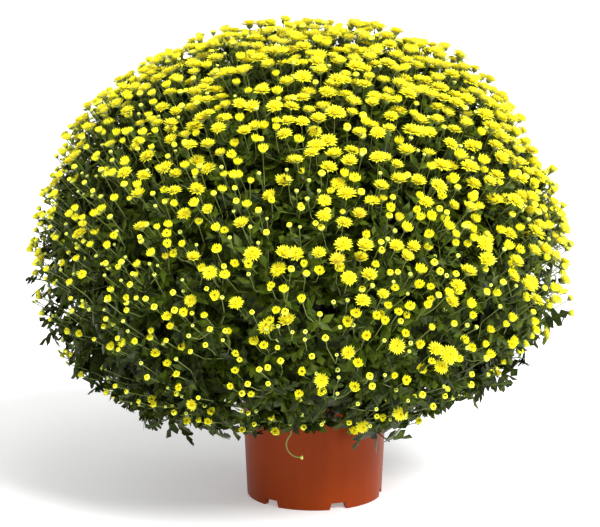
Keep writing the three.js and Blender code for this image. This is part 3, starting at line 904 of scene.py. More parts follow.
# The leaves' forms: name, edge, width as a share of the leaves' own, and how much it arches, folds along
# its midrib, twists and waves.
LEAF_FORMS = (
    ("leaf_0", LEAF_ROWS, 1.0, (0.16, 0.30, 0.10, 0.010)),
    ("leaf_1", TOOTHED_ROWS, 1.0, (0.28, 0.22, -0.16, 0.014)),
    ("leaf_2", LEAF_ROWS, 1.0, (0.08, 0.42, 0.20, 0.012)),
    ("leaf_3", TOOTHED_ROWS, 1.0, (0.38, 0.30, 0.0, 0.016)),
    ("leaf_inner", INNER_ROWS, 1.25, (0.2, 0.2, 0.0, 0.0)),
    ("leaf_bract", BRACT_ROWS, 0.75, (0.25, 0.35, 0.1, 0.0)),
)
# Half a blade's thickness at its midrib, as a share of its length.
BLADE_LIFT = 0.010
# Points of a leaf closer than this are one, and its edges stay sharp over this angle, in radians.
LEAF_WELD = 1e-4
LEAF_CREASE = 1.1


def leaf_form(name, rows, slim, arch, fold, twist, waves):
    """A lobed blade: a thin closed lens that is thickest at its midrib, with a short stalk."""
    sketch = Sketch()

    def at(x, y, lift):
        half = y * slim
        droop = -arch * x * x - fold * abs(half) + waves * math.sin(9 * x + 4 * half)
        height = droop + lift + twist * half * x
        return (x, half, height)

    (first_x, first_y), *_ = rows[0][1]
    for side in (1, -1):
        for face in (1, -1):
            lift = face * BLADE_LIFT
            shade = 0 if face > 0 else 1
            stalk = [at(0, 0, 0), at(first_x, side * first_y, 0), at(*rows[0][0], lift)]
            looks = [(0, 0, 0.5), (0.15, side * 0.1, 0.5), (rows[0][0][0], 0, shade)]
            sketch.add(stalk, [(0, 1, 2)], looks)
            for i, (middle, edge) in enumerate(rows):
                points = [at(*middle, lift)] + [at(x, side * y, 0) for x, y in edge]
                looks = [(middle[0], 0, shade)] + [(x, side * y, 0.5) for x, y in edge]
                faces = [(0, k, k + 1) for k in range(1, len(edge))]
                if i + 1 < len(rows):
                    points.append(at(*rows[i + 1][0], lift))
                    looks.append((rows[i + 1][0][0], 0, shade))
                    faces.append((0, len(edge), len(edge) + 1))
                sketch.add(points, faces, looks)
    mesh = sketch.mesh(name)
    weld(mesh, LEAF_WELD)
    outside(mesh)
    smooth(mesh, LEAF_CREASE)
    return mesh


def weld(mesh, distance):
    """Merges the points that lie on each other."""
    work = bmesh.new()
    work.from_mesh(mesh)
    bmesh.ops.remove_doubles(work, verts=work.verts, dist=distance)
    bmesh.ops.dissolve_degenerate(work, edges=work.edges, dist=distance / 2)
    work.to_mesh(mesh)
    work.free()


def collection_of(name, meshes):
    """The forms as objects of a collection, which takes them in the order of their names."""
    made = bpy.data.collections.new(name)
    for i, mesh in enumerate(meshes):
        made.objects.link(bpy.data.objects.new(f"{name}_{i}", mesh))
    return made


def leaf_forms(foliage):
    """The four lobed leaves, the plain inner leaf and the bract, in the order of their kinds."""
    half = foliage.leaf_slimness / 2
    meshes = [leaf_form(name, rows, half * slim, *shape) for name, rows, slim, shape in LEAF_FORMS]
    return collection_of("leaves", meshes)


# ---- Node trees ---------------------------------------------------------------------------------


class Wire:
    """A socket of a node tree. Sums on it read as sums, and add Math nodes."""

    def __init__(self, nodes, socket):
        self.nodes = nodes
        self.socket = socket

    def _math(self, operation, *values):
        return self.nodes.add("ShaderNodeMath", {"operation": operation}, dict(enumerate(values)))

    def __add__(self, other):
        return self._math("ADD", self, other)

    def __sub__(self, other):
        return self._math("SUBTRACT", self, other)

    def __rsub__(self, other):
        return self._math("SUBTRACT", other, self)

    def __mul__(self, other):
        return self._math("MULTIPLY", self, other)

    __radd__ = __add__

    def __abs__(self):
        return self._math("ABSOLUTE", self)

    def sine(self):
        return self._math("SINE", self)

    def fraction(self):
        return self._math("FRACT", self)

    def between(self, low, high):
        """0 below low, 1 above high and smooth between."""
        inputs = {"Value": self, "From Min": low, "From Max": high}
        return self.nodes.add("ShaderNodeMapRange", {"interpolation_type": "SMOOTHSTEP"}, inputs)


class Nodes:
    """Adds nodes to a tree."""

    def __init__(self, tree):
        self.tree = tree

    def add(self, kind, settings=None, inputs=None, output=0):
        """A node with its settings, and values or wires for its sockets by identifier or place."""
        node = self.tree.nodes.new(kind)
        for name, value in (settings or {}).items():
            setattr(node, name, value)
        for key, value in (inputs or {}).items():
            socket = self._find(node.inputs, key)
            if isinstance(value, Wire):
                self.tree.links.new(value.socket, socket)
            else:
                socket.default_value = value
        return Wire(self, self._find(node.outputs, output)) if node.outputs else None

    @staticmethod
    def _find(sockets, key):
        if isinstance(key, int):
            return sockets[key]
        return next(socket for socket in sockets if socket.identifier == key)

    def mix(self, share, low, high):
        """A colour between two colours."""
        inputs = {"Factor_Float": share, "A_Color": low, "B_Color": high}
        return self.add("ShaderNodeMix", {"data_type": "RGBA"}, inputs, "Result_Color")

    def attribute(self, name, output="Fac"):
        return self.add("ShaderNodeAttribute", {"attribute_name": name}, None, output)

    def look(self):
        """How far along, how far across, and how ripe or which side."""
        vector = self.attribute("look", "Vector")
        return [self.add("ShaderNodeSeparateXYZ", None, {"Vector": vector}, axis) for axis in "XYZ"]

    def here(self):
        return self.add("ShaderNodeTexCoord", None, None, "Object")

    def noise(self, scale, detail=3.0, vector=None):
        inputs = {"Vector": vector or self.here(), "Scale": scale, "Detail": detail}
        return self.add("ShaderNodeTexNoise", None, inputs, "Fac")

    def bump(self, height, distance, strength=1.0):
        inputs = {"Height": height, "Distance": distance, "Strength": strength}
        return self.add("ShaderNodeBump", None, inputs)

    def surface(self, inputs):
        shader = self.add("ShaderNodeBsdfPrincipled", None, inputs)
        self.add("ShaderNodeOutputMaterial", None, {"Surface": shader})


def growth_tree():
    """Turns a skeleton into tubes along its lines and a form on each of its loose points."""
    tree = bpy.data.node_groups.new("shoot_growth", "GeometryNodeTree")
    sockets = (
        ("Skeleton", "NodeSocketGeometry"),
        ("Forms", "NodeSocketCollection"),
        ("Size variation", "NodeSocketFloat"),
        ("Seed", "NodeSocketInt"),
        ("Tube sides", "NodeSocketInt"),
        ("Form material", "NodeSocketMaterial"),
        ("Tube material", "NodeSocketMaterial"),
    )
    for name, kind in sockets:
        tree.interface.new_socket(name, in_out="INPUT", socket_type=kind)
    tree.interface.new_socket("Grown", in_out="OUTPUT", socket_type="NodeSocketGeometry")
    nodes = Nodes(tree)
    start = tree.nodes.new("NodeGroupInput")
    inputs = {name: Wire(nodes, start.outputs[name]) for name, _ in sockets}

    def named(name, kind):
        return nodes.add("GeometryNodeInputNamedAttribute", {"data_type": kind}, {"Name": name}, "Attribute")

    def dressed(geometry, material):
        parts = {"Geometry": geometry, "Material": inputs[material]}
        return nodes.add("GeometryNodeSetMaterial", None, parts)

    is_line = nodes.add(
        "FunctionNodeCompare",
        {"data_type": "INT", "operation": "LESS_THAN"},
        {"A_INT": named("kind", "INT"), "B_INT": 0},
    )
    parted = {"Geometry": inputs["Skeleton"], "Selection": is_line}
    lines = nodes.add("GeometryNodeSeparateGeometry", {"domain": "POINT"}, parted, "Selection")
    points = nodes.add("GeometryNodeSeparateGeometry", {"domain": "POINT"}, parted, "Inverted")
    profile = {"Resolution": inputs["Tube sides"], "Radius": 1.0}
    tubes = nodes.add(
        "GeometryNodeCurveToMesh",
        None,
        {
            "Curve": nodes.add("GeometryNodeMeshToCurve", None, {"Mesh": lines}),
            "Profile Curve": nodes.add("GeometryNodeCurvePrimitiveCircle", None, profile),
            "Scale": named("girth", "FLOAT"),
            "Fill Caps": True,
        },
    )
    tubes = dressed(tubes, "Tube material")
    variation = inputs["Size variation"]
    size = named("size", "FLOAT") * nodes.add(
        "FunctionNodeRandomValue",
        {"data_type": "FLOAT"},
        {"Min_001": 1 - variation, "Max_001": 1 + variation, "Seed": inputs["Seed"]},
        "Value_001",
    )
    axes = {"Primary Axis": named("facing", "FLOAT_VECTOR"), "Secondary Axis": named("ahead", "FLOAT_VECTOR")}
    instances = nodes.add(
        "GeometryNodeInstanceOnPoints",
        None,
        {
            "Points": points,
            "Instance": nodes.add(
                "GeometryNodeCollectionInfo",
                None,
                {"Collection": inputs["Forms"], "Separate Children": True, "Reset Children": True},
            ),
            "Pick Instance": True,
            "Instance Index": named("kind", "INT"),
            "Rotation": nodes.add(
                "FunctionNodeAxesToRotation",
                {"primary_axis": "Z", "secondary_axis": "X"},
                axes,
            ),
            "Scale": size,
        },
    )
    forms = nodes.add("GeometryNodeRealizeInstances", None, {"Geometry": instances})
    forms = dressed(forms, "Form material")
    joined = tree.nodes.new("GeometryNodeJoinGeometry")
    for part in (tubes, forms):
        tree.links.new(part.socket, joined.inputs[0])
    end = tree.nodes.new("NodeGroupOutput")
    tree.links.new(joined.outputs[0], end.inputs[0])
    return tree


def grow(name, skeleton_mesh, tree, values):
    """Runs the growth tree on a skeleton, and returns the result as a plain mesh object."""
    seed = bpy.data.objects.new(name + "_skeleton", skeleton_mesh)
    bpy.context.scene.collection.objects.link(seed)
    modifier = seed.modifiers.new("growth", "NODES")
    modifier.node_group = tree
    for item in tree.interface.items_tree:
        if item.name in values:
            modifier[item.identifier] = values[item.name]
    seed.update_tag()
    mesh = plain_copy(seed, name)
    bpy.data.objects.remove(seed)
    drop = [a.name for a in mesh.attributes if a.name in ("kind", "girth", "size", "facing", "ahead")]
    for attribute in drop:
        mesh.attributes.remove(mesh.attributes[attribute])
    return new_object(name, mesh)


def plain_copy(thing, name):
    """The mesh of an object with its modifiers applied."""
    graph = bpy.context.evaluated_depsgraph_get()
    mesh = bpy.data.meshes.new_from_object(thing.evaluated_get(graph), depsgraph=graph)
    mesh.name = name
    return mesh


def new_object(name, mesh):
    made = bpy.data.objects.new(name, mesh)
    bpy.context.scene.collection.objects.link(made)
    return made


def settle(piece, slot, *nodes):
    """A finished piece moves with the plant and stands for nodes of the frame, which it hides. The slot is
    not used.
    """
    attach(piece, BODY)
    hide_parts(*nodes)


# ---- Materials ----------------------------------------------------------------------------------


def new_material(name):
    material = bpy.data.materials.new(name)
    material.use_nodes = True
    material.node_tree.nodes.clear()
    return material, Nodes(material.node_tree)


def opaque(colour):
    return (*colour, 1.0)


def petal_material(blooms):
    """Yellow petals: deeper towards the heart, greener while they are unripe, and a few faded."""
    material, nodes = new_material("petal")
    along, across, ripe = nodes.look()
    tone = nodes.attribute("tone")
    yellow = nodes.mix(along.between(0.0, 0.34), opaque(blooms.heart), opaque(blooms.petal_deep))
    yellow = nodes.mix(along.between(0.25, 0.95), yellow, opaque(blooms.petal))
    yellow = nodes.mix((tone - 0.2).between(0.0, 0.8) * 0.35, yellow, opaque(blooms.petal_deep))
    colour = nodes.mix(ripe.between(0.1, 0.9), opaque(blooms.unripe), yellow)
    patches = nodes.noise(260.0, 2.0)
    fading = tone.between(0.985, 0.995) * patches.between(0.25, 0.6) * ripe.between(0.7, 0.9)
    colour = nodes.mix(fading * 0.35, colour, opaque(blooms.faded))
    ribs = (across * 11.0 + along * 2.0).sine()
    nodes.surface(
        {
            "Base Color": colour,
            "Roughness": 0.62 - along * 0.08,
            "Specular IOR Level": 0.2,
            "Subsurface Weight": 0.25,
            "Subsurface Radius": (1.0, 0.95, 0.15),
            "Subsurface Scale": 0.002,
            "Normal": nodes.bump(ribs, 0.00012, 0.5),
        }
    )
    return material


def leaf_material(foliage):
    """Dark green blades with a pale midrib and side veins, and a paler underside. Blades of low tone take the
    dark colour: older blades, and painted shade on the plain leaves deep in the plant.
    """
    material, nodes = new_material("leaf")
    along, across, under = nodes.look()
    tone = nodes.attribute("tone")
    # Low tone gives the dark colour: older blades at random, darker towards the lower edge, and painted shade
    # on the plain inner leaves, whose tone is kept low.
    blade = nodes.mix(tone.between(0.15, 0.95), opaque(foliage.leaf_dark_and_shade), opaque(foliage.leaf))
    mottle = nodes.noise(95.0, 4.0)
    lighter = mottle.between(0.45, 0.72) * 0.45 + tone.between(0.8, 1.0) * 0.3
    blade = nodes.mix(lighter, blade, opaque(foliage.leaf_light))
    width = abs(across)
    midrib = 1 - width.between(0.02, 0.10)
    step = ((along - width * 0.22) * 6.2).fraction()
    side_vein = 1 - abs(step - 0.5).between(0.02, 0.10)
    veins = (midrib * 0.8 + side_vein * 0.35).between(0.05, 1.0)
    blade = nodes.mix(veins * 0.45, blade, opaque(foliage.vein))
    below = under.between(0.49, 0.53)
    colour = nodes.mix(below * 0.55, blade, opaque(foliage.underside))
    relief = mottle * 0.6 + veins * -0.5
    nodes.surface(
        {
            "Base Color": colour,
            "Roughness": 0.36 + below * 0.3 + mottle * 0.1,
            "Specular IOR Level": 0.10,
            "Normal": nodes.bump(relief, 0.0006, 0.6),
        }
    )
    return material


def stem_material(foliage):
    """Pale green flower stalks and cups, and darker, browner main stems."""
    material, nodes = new_material("stem")
    tone = nodes.attribute("tone")
    grain = nodes.noise(420.0, 3.0)
    colour = nodes.mix(tone.between(0.1, 0.7), opaque(foliage.stalk), opaque(foliage.stem))
    colour = nodes.mix(tone.between(0.7, 1.0) * grain, colour, opaque(foliage.wood))
    nodes.surface(
        {
            "Base Color": colour,
            "Roughness": 0.5 + grain * 0.15,
            "Specular IOR Level": 0.35,
            "Normal": nodes.bump(grain, 0.0003, 0.5),
        }
    )
    return material


def pot_material(pot):
    """Moulded plastic with a soft sheen and faint upright flow streaks."""
    material, nodes = new_material("pot_plastic")
    stretched = nodes.add("ShaderNodeMapping", None, {"Vector": nodes.here(), "Scale": (1.0, 1.0, 0.12)})
    streaks = nodes.noise(38.0, 4.0, stretched)
    grain = nodes.noise(900.0, 2.0)
    colour = nodes.mix(streaks.between(0.3, 0.75) * 0.5, opaque(pot.colour), opaque(pot.shade))
    nodes.surface(
        {
            "Base Color": colour,
            "Roughness": 0.34 + streaks * 0.12,
            "Specular IOR Level": 0.1,
            "Normal": nodes.bump(grain * 0.6 + streaks * 0.8, 0.00018, 0.5),
        }
    )
    return material


def compost_material(compost):
    """Moist crumbly peat with lighter fibres."""
    material, nodes = new_material("compost")
    coarse = nodes.noise(70.0, 6.0)
    fine = nodes.noise(380.0, 6.0)
    # The dark colour follows the low values of the coarse noise, which the bump also sinks: the compost is
    # darker in its hollows.
    colour = nodes.mix(coarse.between(0.3, 0.7), opaque(compost.dark), opaque(compost.colour))
    colour = nodes.mix(fine.between(0.62, 0.78) * 0.6, colour, opaque(compost.fibre))
    nodes.surface(
        {
            "Base Color": colour,
            "Roughness": 0.86 + fine * 0.12,
            "Normal": nodes.bump(coarse + fine * 0.5, 0.002, 0.8),
        }
    )
    return material


def floor_material(stage):
    material, nodes = new_material("floor")
    grain = nodes.noise(3.0, 2.0)
    colour = nodes.mix(grain * 0.1, opaque(stage.floor), opaque(stage.floor_shade))
    glow = {"Emission Color": (1, 1, 1, 1), "Emission Strength": stage.floor_glow}
    nodes.surface({"Base Color": colour, "Roughness": 0.85, "Specular IOR Level": 0.2, **glow})
    return material


# ---- Settings -----------------------------------------------------------------------------------


def colour_setting(name, description, default):
    return FloatVectorProperty(
        name=name, description=description, default=default, subtype="COLOR", size=3, min=0.0, max=1.0
    )


def length_setting(name, description, default):
    return FloatProperty(name=name, description=description, default=default, min=0.0, unit="LENGTH")


def number_setting(name, description, default, low=0.0):
    return FloatProperty(name=name, description=description, default=default, min=low)


def count_setting(name, description, default):
    return IntProperty(name=name, description=description, default=default, min=0)


def angle_setting(name, description, degrees):
    return FloatProperty(name=name, description=description, default=math.radians(degrees), subtype="ANGLE")


class PotSettings(bpy.types.PropertyGroup):
    base_radius: length_setting("Base radius", "Radius of the pot's wall at the ground", 0.0885)
    top_radius: length_setting("Top radius", "Radius of the wall just under the rim", 0.0955)
    rim_radius: length_setting("Rim radius", "Radius of the rim band", 0.100)
    rim_depth: length_setting("Rim depth", "How far the rim band reaches down", 0.015)
    wall: length_setting("Wall", "Thickness of the plastic", 0.002)
    floor_height: length_setting("Floor height", "How high the pot's floor lies between its feet", 0.009)
    floor_thickness: length_setting("Floor thickness", "Thickness of the pot's floor", 0.003)
    foot_radius: length_setting("Foot radius", "Radius of the flat foot under the middle", 0.024)
    foot_ring: length_setting("Foot ring", "How far the outer foot ring reaches in", 0.007)
    notch_bottom: length_setting("Notch width below", "Width of a notch at the ground", 0.024)
    notch_top: length_setting("Notch width above", "Width of a notch at its top", 0.0185)
    notches: count_setting("Notches", "Notches in the lower edge", 6)
    first_notch: angle_setting("First notch", "Turn from the front to the first notch at the right", 20.3)
    drain_radius: length_setting("Drain radius", "Radius of a drain hole", 0.006)
    drain_circle: length_setting("Drain circle", "Radius of the circle that the drain holes lie on", 0.052)
    colour: colour_setting("Colour", "The plastic", (0.250, 0.033, 0.001))
    shade: colour_setting("Streaks", "Darker flow streaks in the plastic", (0.190, 0.024, 0.001))


class CompostSettings(bpy.types.PropertyGroup):
    lump: length_setting("Lumps", "Height of the lumps of the compost", 0.004)
    crumbs: count_setting("Crumbs", "Loose crumbs on the compost", 420)
    colour: colour_setting("Colour", "The compost", (0.045, 0.026, 0.014))
    # Used where the coarse noise is low, in the bump's hollows.
    dark: colour_setting("Dark", "The moist hollows", (0.016, 0.010, 0.006))
    fibre: colour_setting("Fibres", "The lighter fibres", (0.16, 0.10, 0.05))


class FoliageSettings(bpy.types.PropertyGroup):
    leaf_length: length_setting("Leaf length", "Length of a full leaf", 0.041)
    leaf_slimness: number_setting("Leaf slimness", "A leaf's width as a share of its length", 0.60, 0.1)
    leaves_on_branch: count_setting("Leaves on a branch", "Lobed leaves in turn", 7)
    inner_leaves: count_setting("Inner leaves", "Plain leaves deep in the plant", 4)
    droop: number_setting("Droop", "How steeply the lowest leaves hang", 0.9)
    reach: number_setting("Reach", "How far out leaf tips may come, as a share of the ball", 0.955, 0.5)
    reach_low: number_setting("Reach below", "How far out leaf tips may come at the lower edge", 1.03, 0.5)
    leaf: colour_setting("Leaf", "Full-grown blades", (0.038, 0.064, 0.001))
    # The dark leaf colour is for older blades, and it is also painted shade on the plain leaves deep in the
    # plant.
    leaf_dark_and_shade: colour_setting("Dark leaf", "Older blades", (0.007, 0.014, 0.001))
    leaf_light: colour_setting("Light patches", "Lighter patches of a blade", (0.130, 0.170, 0.010))
    vein: colour_setting("Veins", "Midrib and side veins", (0.10, 0.138, 0.02))
    underside: colour_setting("Underside", "The pale side of a blade", (0.058, 0.082, 0.018))
    stalk: colour_setting("Stalks", "Flower stalks and cups", (0.21, 0.26, 0.06))
    stem: colour_setting("Stems", "Branches", (0.045, 0.065, 0.012))
    wood: colour_setting("Wood", "The oldest stems", (0.07, 0.042, 0.02))


class BloomSettings(bpy.types.PropertyGroup):
    seed: count_setting("Seed", "Seed of every random draw", 7)
    size: number_setting("Size", "Scale of all flower heads", 1.0, 0.1)
    size_variation: number_setting("Variation", "How much heads vary in size", 0.06)
    fork_gap: length_setting("Fork gap", "Distance between two forks, more or less by their place", 0.033)
    stalk: length_setting("Stalk", "Length of a flower's stalk", 0.036)
    fork_tries: count_setting("Fork tries", "How often a place for a fork is tried", 14000)
    open_share: number_setting("Open", "Share of open flowers half way down", 0.14)
    light: number_setting("Light", "How strongly heads turn up to the light", 0.8)
    unevenness: number_setting("Unevenness", "How much heads lean at random", 0.28)
    petal: colour_setting("Petals", "Ripe petals", (0.95, 0.95, 0.030))
    petal_deep: colour_setting("Deep petals", "Petals near the heart", (0.90, 0.76, 0.006))
    heart: colour_setting("Heart", "The middle of a flower", (0.11, 0.08, 0.004))
    unripe: colour_setting("Unripe", "Buds that are still green", (0.58, 0.68, 0.14))
    faded: colour_setting("Faded", "Petals past their best", (0.42, 0.20, 0.03))


class StageSettings(bpy.types.PropertyGroup):
    camera_place: FloatVectorProperty(
        name="Camera",
        description="Where the camera stands",
        default=(-0.019, -2.9, 0.870),
        subtype="TRANSLATION",
    )
    camera_pitch: angle_setting("Pitch", "How far the camera looks down", 10.997)
    lens: number_setting("Lens", "Focal length in millimetres", 136.7, 1.0)
    key: number_setting("Key light", "Strength of the soft light from the upper right", 4.25)
    key_width: angle_setting("Key width", "How wide the key light is seen", 22)
    strip: number_setting("Strip light", "Power of the upright strip light at the right", 8.0)
    top: number_setting("Top light", "Power of the soft light over the plant", 10.5)
    sky: number_setting("Sky", "Brightness of the white surroundings", 0.62)
    floor_glow: number_setting("Floor glow", "How much the floor shines, as a light table", 0.32)
    floor: colour_setting("Floor", "The pale floor", (0.86, 0.86, 0.86))
    floor_shade: colour_setting("Floor shade", "A faint unevenness of the floor", (0.78, 0.78, 0.78))


class PlantSettings(bpy.types.PropertyGroup):
    pot: PointerProperty(type=PotSettings)
    compost: PointerProperty(type=CompostSettings)
    foliage: PointerProperty(type=FoliageSettings)
    blooms: PointerProperty(type=BloomSettings)
    stage: PointerProperty(type=StageSettings)


def settings_of(context):
    return context.scene.chrysanthemum


_plans = {}


def plant_of(context):
    """The plan of the whole plant, made on first use."""
    if "plant" not in _plans:
        every = settings_of(context)
        _plans["plant"] = Plant(every.foliage, every.blooms)
    return _plans["plant"]


# ---- Pot and compost ----------------------------------------------------------------------------


POT_COLUMNS = 144
# Notches lift only what is farther out than this.
NOTCHED_FROM = 0.078
# Edges of the pot and of the compost stay sharp over these angles.
POT_CREASE = math.radians(32)
COMPOST_CREASE = math.radians(60)
# Points of a spun form closer than this are one.
SPUN_WELD = 0.00012
CRUMB_KINDS = 3


def wall_radius(pot, height):
    """The outside of the wall, which leans out evenly from the ground to the rim."""
    rim_foot = COMPOST_TOP + 0.005
    return lerp(pot.base_radius, pot.top_radius, height / rim_foot)


def rounded(corner, before, after, radius, steps=4):
    """A corner of a profile, rounded off."""
    corner, before, after = Vector(corner), Vector(before), Vector(after)
    start = corner + (before - corner).normalized() * radius
    end = corner + (after - corner).normalized() * radius
    return [tuple(bezier(start, corner, end, k / steps)) for k in range(steps + 1)]


def pot_profile(pot, top):
    """The pot's section as (radius, height) pairs, from under its middle round to the top of its floor."""
    ground, ease = 0.0, 0.0004
    rim_foot = top - pot.rim_depth
    floor_top = pot.floor_height + pot.floor_thickness
    ring = pot.base_radius - pot.foot_ring
    corners = [
        (0.0, ground, 0),
        (pot.foot_radius, ground, ease),
        (pot.foot_radius + 0.002, pot.floor_height, ease),
        (ring - 0.002, pot.floor_height, ease),
        (ring, ground, ease),
        (pot.base_radius, ground, 0.0008),
        (wall_radius(pot, pot.floor_height), pot.floor_height, 0),
        (wall_radius(pot, 0.05), 0.05, 0),
        (wall_radius(pot, 0.10), 0.10, 0),
        (pot.top_radius, rim_foot, 0.0008),
        (pot.rim_radius - 0.001, rim_foot + 0.0016, 0.0008),
        (pot.rim_radius, top - 0.0005, 0.0012),
        (pot.rim_radius - pot.wall - 0.001, top - 0.0005, 0.0009),
        (pot.top_radius - pot.wall, rim_foot + 0.002, 0.0008),
        (wall_radius(pot, floor_top) - pot.wall, floor_top, 0.001),
        (0.0, floor_top, 0),
    ]
    profile = []
    for i, (radius, height, rounding) in enumerate(corners):
        if rounding:
            profile += rounded((radius, height), corners[i - 1][:2], corners[i + 1][:2], rounding)
        else:
            profile.append((radius, height))
    return profile


def notch_turns(pot):
    return [pot.first_notch - math.pi / 2 + 2 * math.pi * k / pot.notches for k in range(pot.notches)]


def notch_lift(pot, angle):
    """How far a notch lifts the lower edge at an angle."""
    for middle in notch_turns(pot):
        away = abs((angle - middle + math.pi) % (2 * math.pi) - math.pi) * pot.base_radius
        slant = (pot.notch_bottom / 2 - away) / ((pot.notch_bottom - pot.notch_top) / 2)
        if slant > 0:
            return pot.floor_height * min(slant, 1)
    return 0.0


def column_turns(pot, columns):
    """Even angles round the pot, with one at each corner of each notch."""
    turns = {round(2 * math.pi * k / columns, 6) for k in range(columns)}
    for middle in notch_turns(pot):
        for half in (pot.notch_bottom / 2, pot.notch_top / 2):
            for side in (-1, 1):
                turns.add(round((middle + side * half / pot.base_radius) % (2 * math.pi), 6))
    return sorted(turns)


def spun(profile, turns, lift=None):
    """A closed form spun round +Z from a profile that starts and ends on the axis."""
    points, faces = [(0, 0, profile[0][1]), (0, 0, profile[-1][1])], []
    inner = profile[1:-1]
    for angle in turns:
        raised = lift(angle) if lift else 0.0
        for radius, height in inner:
            over = max(height, raised) if radius > NOTCHED_FROM else height
            points.append((radius * math.cos(angle), radius * math.sin(angle), over))
    rows = len(inner)
    for column in range(len(turns)):
        here, there = 2 + column * rows, 2 + (column + 1) % len(turns) * rows
        faces.append((0, there, here))
        faces.append((1, here + rows - 1, there + rows - 1))
        faces += [(here + k, there + k, there + k + 1, here + k + 1) for k in range(rows - 1)]
    mesh = bpy.data.meshes.new("spun")
    mesh.from_pydata(points, [], faces)
    weld(mesh, SPUN_WELD)
    outside(mesh)
    return mesh


def cut_drains(piece, pot):
    """Cuts the round drain holes through the pot's floor."""
    sketch = Sketch()
    low, high = pot.floor_height - 0.002, pot.floor_height + pot.floor_thickness + 0.002
    for middle in notch_turns(pot):
        angle = middle + math.pi / pot.notches
        centre = Vector((pot.drain_circle * math.cos(angle), pot.drain_circle * math.sin(angle), 0))
        first = len(sketch.points)
        profile = [(0, low), (pot.drain_radius, low), (pot.drain_radius, high), (0, high)]
        sketch.lathe(profile, 24, [(0, 0, 0)] * 4)
        moved = [tuple(Vector(p) + centre) for p in sketch.points[first:]]
        sketch.points[first:] = moved
    cutter = new_object("drain_cutter", sketch.mesh("drain_cutter"))
    modifier = piece.modifiers.new("drains", "BOOLEAN")
    modifier.operation = "DIFFERENCE"
    modifier.solver = "EXACT"
    modifier.object = cutter
    mesh = plain_copy(piece, "pot")
    piece.modifiers.clear()
    bpy.data.objects.remove(cutter)
    piece.data = mesh


class CHRYSANTHEMUM_OT_pot(bpy.types.Operator):
    """Makes the round plastic pot with its rim, notches and drain holes"""

    bl_idname = "chrysanthemum.pot"
    bl_label = "Make pot"

    def execute(self, context):
        pot = settings_of(context).pot
        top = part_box("pot")[1].z
        turns = column_turns(pot, POT_COLUMNS)
        mesh = spun(pot_profile(pot, top), turns, lambda angle: notch_lift(pot, angle))
        piece = new_object("grower_pot", mesh)
        cut_drains(piece, pot)
        smooth(piece.data, POT_CREASE)
        piece.data.materials.clear()
        piece.data.materials.append(pot_material(pot))
        settle(piece, "pot", "pot")
        return {"FINISHED"}


def crumb_forms(draw):
    """Irregular crumbs of peat."""
    meshes = []
    for i in range(CRUMB_KINDS):
        work = bmesh.new()
        bmesh.ops.create_icosphere(work, subdivisions=1, radius=1.0)
        for vert in work.verts:
            vert.co *= 1 + draw.uniform(-0.3, 0.3)
            vert.co.z *= 0.7
        mesh = bpy.data.meshes.new(f"crumb_{i}")
        work.to_mesh(mesh)
        work.free()
        meshes.append(mesh)
    return collection_of("crumbs", meshes)


# The compost's mesh: rings and columns, the room that it leaves to the pot's wall at its top and at its
# bottom, how deep its edge is, and how far its lumps and its crumbs sink in.
COMPOST = {
    "rings": 26,
    "columns": 96,
    "room": 0.0006,
    "room_below": 0.0012,
    "edge": 0.004,
    "lumps_sink": 0.0015,
    "crumbs_sink": 0.0012,
}


def compost_height(spot, lump):
    """The height of the lumps at a spot."""
    return lump * (noise.noise(spot * 45.0) + 0.5 * noise.noise(spot * 130.0))


def compost_mesh(compost, pot, inside):
    """The body of the compost, with a lumpy top."""
    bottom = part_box("compost")[0].z
    low_edge = wall_radius(pot, bottom) - pot.wall - COMPOST["room_below"]
    rings, columns = COMPOST["rings"], COMPOST["columns"]
    profile = [(0, bottom), (low_edge, bottom), (inside, COMPOST_TOP - COMPOST["edge"])]
    profile += [(inside * k / rings, COMPOST_TOP) for k in range(rings - 1, 0, -1)]
    profile.append((0, COMPOST_TOP))
    mesh = spun(profile, [2 * math.pi * k / columns for k in range(columns)])
    for vert in mesh.vertices:
        if vert.co.z > COMPOST_TOP - 0.001:
            vert.co.z += compost_height(vert.co, compost.lump) - COMPOST["lumps_sink"]
    smooth(mesh, COMPOST_CREASE)
    return mesh


def crumb_skeleton(compost, inside, draw):
    """A place for each loose crumb on the compost."""
    skeleton = Skeleton()
    for _ in range(compost.crumbs):
        radius = inside * 0.96 * math.sqrt(draw.random())
        angle = draw.uniform(0, 2 * math.pi)
        spot = Vector((radius * math.cos(angle), radius * math.sin(angle), COMPOST_TOP))
        spot.z += compost_height(spot, compost.lump) - COMPOST["crumbs_sink"]
        facing = (UP + Vector([draw.uniform(-1, 1) for _ in range(3)])).normalized()
        size = draw.uniform(0.8, 2.4) * MM
        skeleton.form(spot, draw.randrange(CRUMB_KINDS), size, facing, Vector((1, 0.3, 0)), draw.random())
    return skeleton


class CHRYSANTHEMUM_OT_compost(bpy.types.Operator):
    """Fills the pot with crumbly compost"""

    bl_idname = "chrysanthemum.compost"
    bl_label = "Make compost"

    def execute(self, context):
        every = settings_of(context)
        inside = wall_radius(every.pot, COMPOST_TOP) - every.pot.wall - COMPOST["room"]
        mesh = compost_mesh(every.compost, every.pot, inside)
        material = compost_material(every.compost)
        mesh.materials.append(material)
        mass = new_object("compost_mass", mesh)
        draw = random.Random(every.blooms.seed + 1)
        skeleton = crumb_skeleton(every.compost, inside, draw)
        values = {
            "Forms": crumb_forms(draw),
            "Seed": every.blooms.seed,
            "Tube sides": 3,
            "Form material": material,
        }
        crumbs = grow("compost_crumbs", skeleton.mesh("crumbs"), growth_tree(), values)
        piece = joined("compost_fill", [mass, crumbs])
        settle(piece, "compost", "compost")
        return {"FINISHED"}


def joined(name, parts):
    """Several mesh objects as one."""
    with bpy.context.temp_override(active_object=parts[0], selected_editable_objects=parts):
        bpy.ops.object.join()
    parts[0].name = parts[0].data.name = name
    return parts[0]


# ---- The plant ----------------------------------------------------------------------------------


